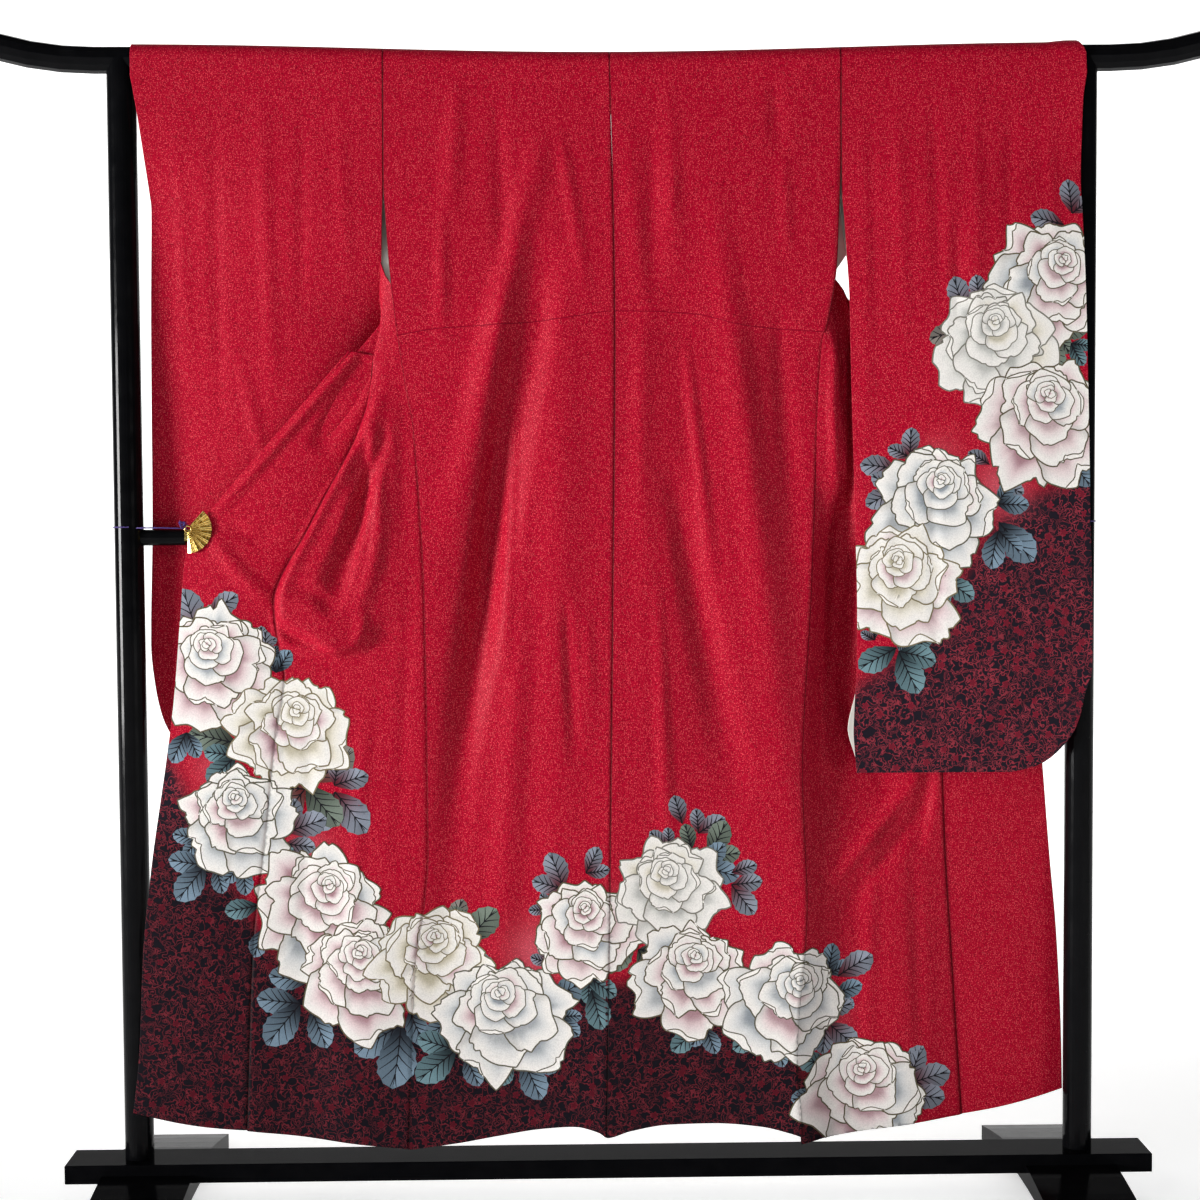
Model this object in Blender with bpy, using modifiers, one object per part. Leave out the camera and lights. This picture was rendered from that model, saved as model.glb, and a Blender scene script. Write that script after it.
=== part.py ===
"""A furisode hung by its sleeves on a lacquered kimono stand, back to the front.

Both fronts are opened like doors: the left one comes out in front of the left sleeve,
the right one stays behind the right sleeve. Each panel is one wall of cloth, bent as it
was cut and sewn. Units are metres, tables are in millimetres. +X is to the viewer's
right, the viewer stands at -Y, and the feet stand on Z = 0.
"""

import math

import bmesh
import bpy
import numpy as np

MM = 0.001

# Cloth, in millimetres
CLOTH = 2.0
COLLAR_CLOTH = 3.0
SEAM_GAP = 0.4
LAP = CLOTH + SEAM_GAP

# Stand, in millimetres
POST_X = 677.5
POST_RADIUS = 20.5
BAR_RADIUS = 19.0
BAR_CENTRE_Z = 1637.0
BAR_SAG = 12.0
BAR_BEND_X = 715.0
BAR_BEND_RADIUS = 485.0
BAR_END_X = 920.0
RAIL_LENGTH = 1555.0
RAIL_DEPTH = 76.0
RAIL_THICKNESS = 27.0
RAIL_TOP_Z = 75.0
FOOT_X = 660.0
FOOT_WIDTH = 130.0
FOOT_HALF_LENGTH = 280.0
FOOT_PAD = 50.0
FOOT_END_HEIGHT = 22.0
FOOT_TOP_Z = 62.0
FOOT_ARCH_Z = 30.0
ARM_RADIUS = 11.5
ARM_Z = 967.0
ARM_TIP_X = 597.0
TOUCH = 0.3

# Cloth over the bar
WRAP_RADIUS = BAR_RADIUS + 0.9 + CLOTH / 2
WRAP_ROWS = 8
NECK_EDGE_Z = 1612.0
CUFF_OPENING = 2.5
CUFF_OPENING_FROM_X = 620.0
CUFF_OPENING_OVER = 35.0

# How the panels hang, in millimetres
BACK_FALL = 4.0
BACK_LEAN = 2.0
HEM_BILLOW = 7.0
HEM_BILLOW_FROM = 0.45
ARMHOLE_SAG_Y = 13.0
ARMHOLE_SAG_Z = 14.0
OPENING_TWIST = 30.0
OPENING_TURN = 5.0
RIGHT_FRONT_BILLOW = 13.0
LOWER_WAVE = 6.0
SIDE_SEAM_LAP = 3.0
OKUMI_LAP = 3.0
OKUMI_BELLY = 4.0
RIGHT_OKUMI_STEP = 1.4

# Gold clips
CLIP_X = 592.0
CLIP_Z = 979.0
FAN_RADIUS = 34.0
FAN_ROOT = 5.0
FAN_PLEATS = 8
FAN_FROM = math.radians(48)
FAN_TO = math.radians(-90)
FAN_RELIEF = 1.5
FAN_SHEET = 1.2
FAN_STAND_OFF = 7.0
JAW_HEIGHT = 16.0
JAW_PLATE = 2.5
JAW_BRIDGE = 9.0
JAW_REACH = 30.0
JAW_STAND_OFF = 9.5
CORD_RADIUS = 1.0
CORD_ABOVE_ARM = 2.5
CLIP_CLOTH_Y = {-1: -9.0, 1: -2.0}

# Outlines, height first: (z, x) down each edge
CENTRE_SEAM = ((1660, 7), (1283, 13), (875, 8), (493, 2), (100, -5))
LEFT_SIDE = (
    (1660, -309), (1454, -310), (1436, -307), (1364, -302), (1283, -296), (1187, -284),
    (1117, -272), (877, -259), (659, -257), (517, -257), (452, -262), (353, -277), (80, -289),
)
RIGHT_SIDE = (
    (1660, 332), (1505, 332), (1440, 330), (1346, 326), (1272, 315), (1224, 305),
    (873, 290), (622, 277), (435, 283), (224, 268), (90, 277),
)
# Hem of the two back panels: (x, z)
BACK_HEM = (
    (-292, 89), (-217, 97), (-162, 106), (-97, 116), (-52, 119), (-15, 110), (-5, 103),
    (29, 112), (84, 120), (150, 121), (216, 116), (259, 106), (280, 99),
)

# Soft folds of the back, one a row: foot is the lower end, a depth below 0 is a trough
BACK_FOLDS = (
    # top_x, top_z, foot_x, foot_z, half_width, depth
    (-112, 1480, -235, 560, 26, -7),
    (-70, 1400, -95, 420, 24, 6),
    (-160, 1330, -205, 300, 22, 5),
    (60, 1420, 36, 560, 20, -7),
    (22, 1400, 26, 380, 16, 6),
    (128, 1400, 150, 300, 24, 7),
    (172, 1400, 232, 600, 22, -7),
    (262, 1250, 240, 420, 18, 4),
)

# Outer edge of each front from the shoulder to the foot of the side opening
FRONT_ROW_SIDE = (
    # row, y, z
    (0.00, 20.9, 1612),
    (0.35, 21.0, 1520),
    (0.65, 21.0, 1432),
    (0.85, 4.0, 1350),
    (0.92, -9.0, 1318),
)
# Height of the side seam's point on each row below the side opening
SEAM_ROW_HEIGHT = (
    (1.00, 1283), (1.12, 1190), (1.20, 1130), (1.30, 1020), (1.38, 930), (1.44, 860),
    (1.48, 810), (1.55, 710), (1.67, 560), (1.78, 410), (1.90, 250), (2.00, 89),
)
# Seam between front and overlap panel, and above the first row 1.0 the neck edge
LEFT_FRONT_SEAM = (
    # row, x, y, z
    (0.00, -82, 20.9, 1612),
    (0.35, -140, 20.0, 1530),
    (0.65, -215, 14.0, 1440),
    (0.85, -278, 12.0, 1345),
    (0.92, -302, 4.0, 1308),
    (1.00, -327, -11.0, 1262),
    (1.12, -334, -11.0, 1165),
    (1.20, -350, -11.5, 1115),
    (1.30, -417, -12.0, 988),
    (1.38, -472, -13.5, 873),
    (1.44, -465, -16.0, 808),
    (1.48, -458, -17.5, 769),
    (1.55, -472, -19.5, 678),
    (1.67, -488, -22.5, 532),
    (1.78, -506, -25.5, 391),
    (2.00, -518, -30.0, 121),
)
RIGHT_FRONT_SEAM = (
    (0.00, 98, 20.9, 1612),
    (0.35, 158, 20.5, 1530),
    (0.65, 235, 18.0, 1445),
    (0.85, 303, 15.0, 1365),
    (0.92, 323, 13.0, 1336),
    (1.00, 345, 9.0, 1300),
    (1.12, 358, 6.0, 1190),
    (1.20, 375, 6.0, 1120),
    (1.30, 420, 6.0, 1000),
    (1.38, 460, 7.0, 890),
    (1.44, 474, 8.0, 815),
    (1.48, 478, 9.0, 765),
    (1.55, 481, 11.0, 678),
    (1.67, 487, 14.0, 520),
    (1.78, 496, 17.0, 380),
    (2.00, 514, 22.0, 118),
)
# Free edge of each overlap panel, from the neck edge's foot round the clipped corner to the hem
LEFT_FREE_EDGE = (
    (1.00, -322, -12.0, 1274),
    (1.12, -420, -12.0, 1163),
    (1.25, -540, -10.5, 1028),
    (1.30, -577, -9.0, 982),
    (1.36, -597, -10.0, 936),
    (1.44, -605, -12.0, 851),
    (1.53, -615, -15.0, 738),
    (1.60, -627, -17.0, 650),
    (1.70, -650, -21.0, 497),
    (1.79, -662, -26.0, 383),
    (1.91, -671, -27.0, 225),
    (2.00, -680, -28.0, 148),
)
RIGHT_FREE_EDGE = (
    (1.00, 350, 8.0, 1305),
    (1.12, 434, 5.0, 1190),
    (1.25, 540, 0.0, 1045),
    (1.30, 578, -2.0, 984),
    (1.36, 592, 0.0, 930),
    (1.44, 606, 7.0, 840),
    (1.53, 619, 14.0, 735),
    (1.60, 627, 20.0, 660),
    (1.70, 641, 24.0, 500),
    (1.79, 652, 26.5, 385),
    (1.91, 660, 27.0, 235),
    (2.00, 662, 27.5, 153),
)
OKUMI_FIRST_ROW = 1.05
# Drawn-up cloth of the left front: its lower edge, its depth and the crease down its middle
POUCH_FOOT = (
    # across, row
    (0.0, 1.43), (0.3, 1.44), (0.45, 1.465), (0.6, 1.465), (0.8, 1.435), (1.0, 1.40),
)
POUCH_GROWTH = (
    # row, depth
    (1.05, 0), (1.10, 5), (1.16, 11), (1.25, 16), (1.36, 24), (1.50, 27),
)
POUCH_CREASE = (
    # row, across
    (1.18, 0.50), (1.44, 0.62),
)
POUCH_CREASE_DEPTH = 9.0
POUCH_CREASE_HALF_WIDTH = 0.16

# Sleeves: outline and depth by height. gap is half the space between the two layers
LEFT_SLEEVE = (
    # z, inner_x, outer_x, inner_y, outer_y, inner_gap, outer_gap
    (1612, -309.8, -661, 0, 0, 20.9, 20.9),
    (1564, -310.1, -653, 0, 0, 21.2, 21.0),
    (1500, -310.4, -645, 0, 0, 21.5, 14.0),
    (1452, -310.7, -640, 0, 0, 21.5, 4.0),
    (1429, -312, -638, -1, 0, 20.5, 1.2),
    (1356, -315, -640, 5, 3, 13.0, 1.2),
    (1290, -318, -642, 12, 6, 10.5, 1.2),
    (1161, -322, -645, 14, 14, 10.0, 1.2),
    (975, -324, -648, 15, 20, 9.0, 1.2),
    (813, -326, -652, 15, 17, 9.0, 1.2),
    (753, -327, -646, 14, 14, 8.0, 1.2),
    (711, -327, -637, 14, 14, 7.0, 1.2),
    (681, -327, -623, 14, 14, 5.0, 1.2),
    (655, -327, -603, 14, 14, 3.5, 1.2),
    (636, -327, -575, 14, 14, 2.0, 1.2),
    (627, -327, -540, 14, 14, 1.2, 1.2),
)
RIGHT_SLEEVE = (
    (1612, 332.6, 678, 0, 0, 20.9, 23.4),
    (1574, 332.6, 673, 0, 0, 21.2, 23.2),
    (1516, 332.7, 671, 0, -4, 21.5, 19.0),
    (1448, 333.4, 669, -1, -21, 20.5, 4.0),
    (1416, 336, 670, -6, -26, 16.5, 1.2),
    (1350, 340, 672, -18, -26, 9.5, 1.2),
    (1298, 343, 674, -22, -26, 7.0, 1.2),
    (1200, 345, 677, -23, -26, 7.0, 1.2),
    (988, 351, 682, -23, -26, 7.0, 1.2),
    (842, 354, 686, -23, -26, 7.0, 1.2),
    (772, 353, 686, -23, -27, 7.0, 1.2),
    (739, 351, 677, -23, -27, 6.5, 1.2),
    (712, 350, 672, -23, -27, 6.0, 1.2),
    (685, 349, 663, -23, -27, 5.0, 1.2),
    (658, 351, 643, -23, -27, 3.5, 1.2),
    (635, 353, 612, -23, -27, 2.0, 1.2),
    (626, 354, 575, -23, -26, 1.2, 1.2),
)
SLEEVE_PUFF = 7.0
RIGHT_PUFF_SHARE = 0.35
# The far layer of the right sleeve stops beside the post while it is behind it: (z, x)
RIGHT_FAR_LIMIT = ((1612, 650), (1460, 650), (1425, 654), (1395, 671), (1300, 673))

# Collar band: its sewn edge from one clip round the neck to the other
COLLAR_WIDTH = 55.0
COLLAR_PATH = (
    # step, x, y, z, drop_x, drop_z
    (0.00, -574, -5.5, 977, 0.30, -0.95),
    (0.08, -520, -7.0, 1046, 0.45, -0.89),
    (0.20, -420, -8.0, 1159, 0.55, -0.83),
    (0.30, -326, -7.5, 1264, 0.55, -0.83),
    (0.306, -320, -5.5, 1274, 0.55, -0.83),
    (0.33, -299, 10.5, 1311, 0.53, -0.85),
    (0.36, -268, 19.0, 1358, 0.50, -0.86),
    (0.42, -200, 21.0, 1452, 0.35, -0.93),
    (0.48, -122, 23.8, 1556, 0.15, -0.98),
    (0.53, -76, 24.0, 1606, 0.04, -1.00),
    (0.60, 8, 24.0, 1619, 0.00, -1.00),
    (0.67, 92, 24.0, 1606, -0.04, -1.00),
    (0.72, 140, 24.0, 1556, -0.15, -0.98),
    (0.78, 222, 23.5, 1452, -0.35, -0.93),
    (0.84, 296, 20.0, 1364, -0.50, -0.86),
    (0.90, 350, 14.5, 1297, -0.55, -0.83),
    (1.00, 434, 10.5, 1186, -0.55, -0.83),
    (1.12, 540, 7.0, 1041, -0.45, -0.89),
    (1.20, 574, 4.6, 978, -0.30, -0.95),
)

# Grids
BACK_COLUMNS = 16
NECK_COLUMNS = 4
BACK_ROWS = 20
FRONT_ROWS = 26
OKUMI_COLUMNS = 6
OKUMI_ROWS = 20
SLEEVE_COLUMNS = 9
SLEEVE_ROWS = 17
COLLAR_STEPS = 40

# Colours, linear
RED_SILK = (0.42, 0.006, 0.022, 1.0)
BLACK_LACQUER = (0.004, 0.004, 0.005, 1.0)
GOLD = (0.78, 0.56, 0.16, 1.0)
PURPLE_CORD = (0.06, 0.02, 0.20, 1.0)


def smooth(keys, values, at):
    """Value at a key on a smooth curve through a table's rows, which never overshoots them."""
    keys = np.asarray(keys, float)
    values = np.asarray(values, float)
    if keys[0] > keys[-1]:
        keys = keys[::-1]
        values = values[::-1]
    at = min(max(at, keys[0]), keys[-1])
    step = np.diff(keys)
    slope = np.diff(values) / step
    tangent = np.concatenate(([slope[0]], np.zeros(len(keys) - 2), [slope[-1]]))
    for i in range(1, len(keys) - 1):
        if slope[i - 1] * slope[i] > 0:
            tangent[i] = 2 * slope[i - 1] * slope[i] / (slope[i - 1] + slope[i])
    i = min(int(np.searchsorted(keys, at, side="right")) - 1, len(step) - 1)
    t = (at - keys[i]) / step[i]
    rise = values[i + 1] - values[i]
    start = tangent[i] * step[i]
    end = tangent[i + 1] * step[i]
    return values[i] + t * start + t * t * (3 * rise - 2 * start - end) + t ** 3 * (start + end - 2 * rise)


def column(table, number):
    """One column of a table."""
    return [row[number] for row in table]


def look_up(table, at):
    """All the later columns of a table, at a value of its first column."""
    keys = column(table, 0)
    return np.array([smooth(keys, column(table, n), at) for n in range(1, len(table[0]))])


def blend(low, high, t):
    """Even mix of two values or points."""
    return low + (high - low) * t


def ease(t):
    """0 to 1 with level ends."""
    t = min(max(t, 0.0), 1.0)
    return t * t * (3 - 2 * t)


def hump(distance, half_width):
    """1 on a fold's line, 0 at its sides, level at both."""
    return ease(1 - abs(distance) / half_width)


def bar_centre(x):
    """Height of the bar's axis: a slight sag between the posts, upswept ends."""
    reach = abs(x)
    if reach <= POST_X:
        return BAR_CENTRE_Z - BAR_SAG * (0.5 + 0.5 * math.cos(math.pi * x / POST_X))
    beyond = max(reach - BAR_BEND_X, 0.0)
    return BAR_CENTRE_Z + BAR_BEND_RADIUS - math.sqrt(BAR_BEND_RADIUS ** 2 - beyond ** 2)


def wrap_radius(x):
    """Radius of the cloth over the bar, opened at the right cuff to clear the post."""
    return WRAP_RADIUS + CUFF_OPENING * ease((x - CUFF_OPENING_FROM_X) / CUFF_OPENING_OVER)


def wrap_point(x, part):
    """Point of the cloth over the bar, from its near side at part 0 to its far side at 1."""
    radius = wrap_radius(x)
    angle = math.pi * part
    return np.array((x, -radius * math.cos(angle), bar_centre(x) + radius * math.sin(angle)))


def back_fold_depth(x, z):
    """How far the back's soft folds stand out or in at a place."""
    depth = 0.0
    for top_x, top_z, foot_x, foot_z, half_width, fold_depth in BACK_FOLDS:
        t = (top_z - z) / (top_z - foot_z)
        if 0 < t < 1:
            line = blend(top_x, foot_x, t)
            depth += fold_depth * hump(x - line, half_width * (1 + 0.5 * t)) * math.sin(math.pi * t) ** 0.6
    return depth


def back_point(side, u, v):
    """Point of a back panel: u from the centre seam to the side, v from the hem to the bar."""
    edge = LEFT_SIDE if side < 0 else RIGHT_SIDE
    z = BACK_HEM[0][1]
    for _ in range(3):
        x = blend(look_up(CENTRE_SEAM, z)[0] + side * SEAM_GAP / 2, look_up(edge, z)[0], u)
        hem = smooth(column(BACK_HEM, 0), column(BACK_HEM, 1), x)
        z = blend(hem, bar_centre(x), v)
    down = 1 - v
    y = -wrap_radius(x) - BACK_FALL * ease(down * 6) - BACK_LEAN * down
    y += HEM_BILLOW * math.sin(math.pi * u) * ease((down - HEM_BILLOW_FROM) / 0.5)
    y -= back_fold_depth(x, z) * min(1.0, 3 * u) * min(1.0, 3 * (1 - u))
    return np.array((x, y, z))


def back_edge_point(side, z):
    """Point of the back's side edge at a height."""
    top = bar_centre(330.0 * side)
    hem = smooth(column(BACK_HEM, 0), column(BACK_HEM, 1), 290.0 * side)
    return back_point(side, 1.0, (z - hem) / (top - hem))


def front_side_point(side, row):
    """Outer edge of a front: down the armhole, across the side opening, down the side seam."""
    if row < 1:
        upper = FRONT_ROW_SIDE + ((1.00, -20.0, 1283),)
        y, z = look_up(upper, row)
        edge = LEFT_SIDE if side < 0 else RIGHT_SIDE
        return np.array((look_up(edge, z)[0], y, z))
    z = look_up(SEAM_ROW_HEIGHT, row)[0]
    behind = LAP + TOUCH + 1.8 * ease((1.15 - row) / 0.1)
    return back_edge_point(side, z) + np.array((-side * SIDE_SEAM_LAP * ease((row - 1) / 0.08), behind, 0))


def pouch_depth(u, row):
    """How far the drawn-up cloth of the left front stands out, with its U-shaped lower edge."""
    foot = look_up(POUCH_FOOT, u)[0]
    depth = look_up(POUCH_GROWTH, row)[0] * ease((u - 0.12) / 0.5) * ease((foot + 0.022 - row) / 0.05)
    crease = POUCH_CREASE_DEPTH * hump(u - look_up(POUCH_CREASE, row)[0], POUCH_CREASE_HALF_WIDTH)
    return depth - crease * ease((row - 1.2) / 0.05) * ease((1.42 - row) / 0.06)


def front_point(side, u, row):
    """Point of a front: u from the side to the neck edge or overlap seam, by table row."""
    outer = front_side_point(side, row)
    seam_table = LEFT_FRONT_SEAM if side < 0 else RIGHT_FRONT_SEAM
    inner = look_up(seam_table, row) - np.array((0, LAP * ease((row - 0.92) / 0.12), 0))
    point = blend(outer, inner, u)
    slack = ease(row / 0.5) * ease((1.0 - row) / 0.25) * math.sin(math.pi * u)
    point[1] -= ARMHOLE_SAG_Y * slack
    point[2] -= ARMHOLE_SAG_Z * slack
    twist = ease((row - 0.72) / 0.15) * ease((1.10 - row) / 0.14) * math.sin(math.pi * u)
    point[0] -= side * OPENING_TWIST * twist
    point[1] += OPENING_TURN * twist * ease((row - 0.9) / 0.1)
    if side < 0 and row > 0.98:
        curl = ease((1 - u) / 0.07)
        point[1] -= pouch_depth(u, row) * curl + 1.6 * ease((1.5 - row) / 0.06) * u
    if side > 0 and row > 0.95:
        point[1] += RIGHT_FRONT_BILLOW * ease((row - 0.95) / 0.1) * ease(u / 0.22) * (1 - u)
    wave = math.sin(2 * math.pi * u) * math.sin(math.pi * u)
    point[1] += side * LOWER_WAVE * ease((row - 1.5) / 0.4) * wave
    return point


def okumi_point(side, u, row):
    """Point of an overlap panel: u from its seam to its free edge."""
    seam_table = LEFT_FRONT_SEAM if side < 0 else RIGHT_FRONT_SEAM
    edge_table = LEFT_FREE_EDGE if side < 0 else RIGHT_FREE_EDGE
    step = RIGHT_OKUMI_STEP * ease((1.35 - row) / 0.2) if side > 0 else 0.0
    inner = look_up(seam_table, row) + np.array((-side * OKUMI_LAP, step, 0))
    outer = look_up(edge_table, row)
    point = blend(inner, outer, u)
    belly = OKUMI_BELLY * math.sin(math.pi * u)
    point[1] -= belly * ease((row - OKUMI_FIRST_ROW) / 0.2) * (1 if side < 0 else 0.3)
    point[2] -= belly * max(row - 1.9, 0.0) / 0.1
    return point


def sleeve_point(side, u, z, layer):
    """Point of a sleeve: u from the body to the cuff, layer -1 is near and 1 is far."""
    table = LEFT_SLEEVE if side < 0 else RIGHT_SLEEVE
    inner_x, outer_x, inner_y, outer_y, inner_gap, outer_gap = look_up(table, z)
    if side > 0 and layer > 0:
        outer_x = min(outer_x, look_up(RIGHT_FAR_LIMIT, z)[0])
    x = blend(inner_x, outer_x, u)
    turn = u ** 2 if z < 1500 else blend(u, u ** 2, ease((1612 - z) / 112))
    middle = blend(inner_y, outer_y, u)
    half = blend(inner_gap, outer_gap, turn)
    puff = SLEEVE_PUFF * math.sin(math.pi * min(u * 1.1, 1.0)) * ease((1560 - z) / 200) * ease((z - 630) / 130)
    if side > 0:
        puff *= RIGHT_PUFF_SHARE
    return np.array((x, middle + layer * (half + puff), z))


def sheet_object(name, grid, thickness, colour):
    """Closed wall of cloth on a grid of points in millimetres. None marks a point cut away."""
    points = []
    number = {}
    for r, row in enumerate(grid):
        for c, point in enumerate(row):
            if point is not None:
                number[r, c] = len(points)
                points.append(tuple(value * MM for value in point))
    faces = []
    for r in range(len(grid) - 1):
        for c in range(len(grid[0]) - 1):
            corners = ((r, c), (r, c + 1), (r + 1, c + 1), (r + 1, c))
            if all(corner in number for corner in corners):
                faces.append([number[corner] for corner in corners])
    mesh = bpy.data.meshes.new(name)
    mesh.from_pydata(points, [], faces)
    obj = bpy.data.objects.new(name, mesh)
    solidify = obj.modifiers.new("Cloth", "SOLIDIFY")
    solidify.thickness = thickness * MM
    solidify.offset = 0.0
    solidify.use_even_offset = False
    finish(obj, colour, 0.45, 0.0)
    return obj


def material(name, colour, roughness, metallic):
    """Principled material of one colour."""
    mat = bpy.data.materials.get(name) or bpy.data.materials.new(name)
    mat.use_nodes = True
    shader = mat.node_tree.nodes["Principled BSDF"]
    shader.inputs["Base Color"].default_value = colour
    shader.inputs["Roughness"].default_value = roughness
    shader.inputs["Metallic"].default_value = metallic
    return mat


def finish(obj, colour, roughness, metallic):
    """Give an object its own material, smooth shading and its place in the collection."""
    obj.data.materials.append(material(obj.name + "_finish", colour, roughness, metallic))
    if obj.type == "MESH":
        obj.data.shade_smooth()
    for collection in obj.users_collection:
        collection.objects.unlink(obj)
    PARTS.objects.link(obj)


def make_body(side, name):
    """Back and front of one side in one strip over the shoulder, with the neck cut out."""
    columns = [c / BACK_COLUMNS for c in range(BACK_COLUMNS + 1)]
    neck_u = NECK_COLUMNS / BACK_COLUMNS
    grid = []
    for r in range(BACK_ROWS):
        grid.append([back_point(side, u, r / BACK_ROWS) for u in columns])
    for r in range(WRAP_ROWS + 1):
        row = []
        for u in columns:
            foot = back_point(side, u, 1.0)
            row.append(wrap_point(foot[0], r / WRAP_ROWS))
        grid.append(row)
    neck_edge = [np.array((point[0], wrap_radius(point[0]), NECK_EDGE_Z)) for point in grid[-1]]
    grid.append(neck_edge)
    for r in range(1, FRONT_ROWS + 1):
        station = blend(0.0, 2.0, r / FRONT_ROWS)
        row = [None] * NECK_COLUMNS
        for u in columns[NECK_COLUMNS:]:
            across = 1 - (u - neck_u) / (1 - neck_u)
            row.append(front_point(side, across, station))
        grid.append(row)
    return sheet_object(name, grid, CLOTH, RED_SILK)


def make_okumi(side, name):
    """Overlap panel, from its point at the neck edge to the hem."""
    grid = []
    for r in range(OKUMI_ROWS + 1):
        row = blend(OKUMI_FIRST_ROW, 2.0, r / OKUMI_ROWS)
        grid.append([okumi_point(side, c / OKUMI_COLUMNS, row) for c in range(OKUMI_COLUMNS + 1)])
    return sheet_object(name, grid, CLOTH, RED_SILK)


def make_sleeve(side, name):
    """One piece folded at the shoulder, its cuff and the edge by the body open."""
    table = LEFT_SLEEVE if side < 0 else RIGHT_SLEEVE
    top = table[0][0]
    bottom = table[-1][0]
    heights = []
    for r in range(SLEEVE_ROWS + 1):
        part = r / SLEEVE_ROWS
        heights.append(blend(bottom, top, 0.55 * part + 0.45 * part ** 1.8))
    columns = [c / SLEEVE_COLUMNS for c in range(SLEEVE_COLUMNS + 1)]
    grid = [[sleeve_point(side, u, z, -1) for u in columns] for z in heights]
    for r in range(WRAP_ROWS + 1):
        part = r / WRAP_ROWS
        row = []
        for u in columns:
            near = sleeve_point(side, u, top, -1)
            far = sleeve_point(side, u, top, 1)
            row.append(wrap_point(blend(near[0], far[0], part), part))
        grid.append(row)
    grid += [[sleeve_point(side, u, z, 1) for u in columns] for z in reversed(heights)]
    return sheet_object(name, grid, CLOTH, RED_SILK)


def make_collar():
    """Folded band from clip to clip round the neck, hanging from its sewn edge."""
    grid = []
    last = COLLAR_PATH[-1][0]
    for r in range(COLLAR_STEPS + 1):
        x, y, z, drop_x, drop_z = look_up(COLLAR_PATH, last * r / COLLAR_STEPS)
        edge = np.array((x, y, z))
        drop = np.array((drop_x, 0.0, drop_z)) * COLLAR_WIDTH
        grid.append([edge + drop * part for part in (0.0, 0.5, 1.0)])
    return sheet_object("collar", grid, COLLAR_CLOTH, RED_SILK)


def tube(name, route, radius, colour, roughness, metallic, resolution, taper=()):
    """Round rod or cord along a route in millimetres, with filled caps."""
    curve = bpy.data.curves.new(name, "CURVE")
    curve.dimensions = "3D"
    curve.bevel_depth = radius * MM
    curve.bevel_resolution = resolution
    curve.use_fill_caps = True
    spline = curve.splines.new("POLY")
    spline.points.add(len(route) - 1)
    for point, place in zip(spline.points, route):
        point.co = (place[0] * MM, place[1] * MM, place[2] * MM, 1.0)
    for number, size in taper:
        spline.points[number].radius = size
    obj = bpy.data.objects.new(name, curve)
    finish(obj, colour, roughness, metallic)
    return obj


def cylinder(name, radius, length, centre, axis, segments):
    """Plain cylinder along one axis, sizes in millimetres."""
    work = bmesh.new()
    bmesh.ops.create_cone(
        work, cap_ends=True, segments=segments,
        radius1=radius * MM, radius2=radius * MM, depth=length * MM,
    )
    mesh = bpy.data.meshes.new(name)
    work.to_mesh(mesh)
    work.free()
    obj = bpy.data.objects.new(name, mesh)
    obj.location = [value * MM for value in centre]
    if axis == "X":
        obj.rotation_euler = (0, math.pi / 2, 0)
    return obj


def cut(obj, cutter):
    """Take a cutter's shape out of an object."""
    CUTTERS.objects.link(cutter)
    cutter.hide_render = True
    cutter.display_type = "WIRE"
    boolean = obj.modifiers.new("Cope", "BOOLEAN")
    boolean.operation = "DIFFERENCE"
    boolean.object = cutter


def make_bar():
    """Top bar with a slight sag and upswept, rounded ends."""
    reaches = [0, 170, 340, 510, 650, 715, 760, 805, 850, 890, 908, 916, BAR_END_X]
    places = [-x for x in reversed(reaches)] + reaches[1:]
    route = [(x, 0.0, bar_centre(x)) for x in places]
    last = len(route) - 1
    rounding = ((2, 0.95), (1, 0.78), (0, 0.5))
    taper = list(rounding) + [(last - number, size) for number, size in rounding]
    tube("top_bar", route, BAR_RADIUS, BLACK_LACQUER, 0.12, 0.0, 4, taper)


def make_post(side, name):
    """Round post on the rail, coped round the bar."""
    bottom = RAIL_TOP_Z + TOUCH
    length = BAR_CENTRE_Z - bottom
    post = cylinder(name, POST_RADIUS, length, (side * POST_X, 0, bottom + length / 2), "Z", 32)
    finish(post, BLACK_LACQUER, 0.12, 0.0)
    post.data.set_sharp_from_angle(angle=math.radians(40))
    cope = cylinder(
        name + "_cope", BAR_RADIUS + TOUCH, 4 * POST_RADIUS, (side * POST_X, 0, BAR_CENTRE_Z), "X", 48,
    )
    cut(post, cope)


def make_rail():
    """Flat bottom rail, let into both feet."""
    work = bmesh.new()
    bmesh.ops.create_cube(work, size=1.0)
    bmesh.ops.scale(work, vec=(RAIL_LENGTH * MM, RAIL_DEPTH * MM, RAIL_THICKNESS * MM), verts=work.verts)
    mesh = bpy.data.meshes.new("bottom_rail")
    work.to_mesh(mesh)
    work.free()
    rail = bpy.data.objects.new("bottom_rail", mesh)
    rail.location = (0, 0, (RAIL_TOP_Z - RAIL_THICKNESS / 2) * MM)
    bevel = rail.modifiers.new("Edges", "BEVEL")
    bevel.width = 0.0015
    bevel.segments = 2
    finish(rail, BLACK_LACQUER, 0.12, 0.0)
    rail.data.set_sharp_from_angle(angle=math.radians(40))


def foot_top(y):
    """Height of a foot's arched top at a distance from the rail's middle."""
    return blend(FOOT_TOP_Z, FOOT_END_HEIGHT, (abs(y) / FOOT_HALF_LENGTH) ** 1.4)


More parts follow.
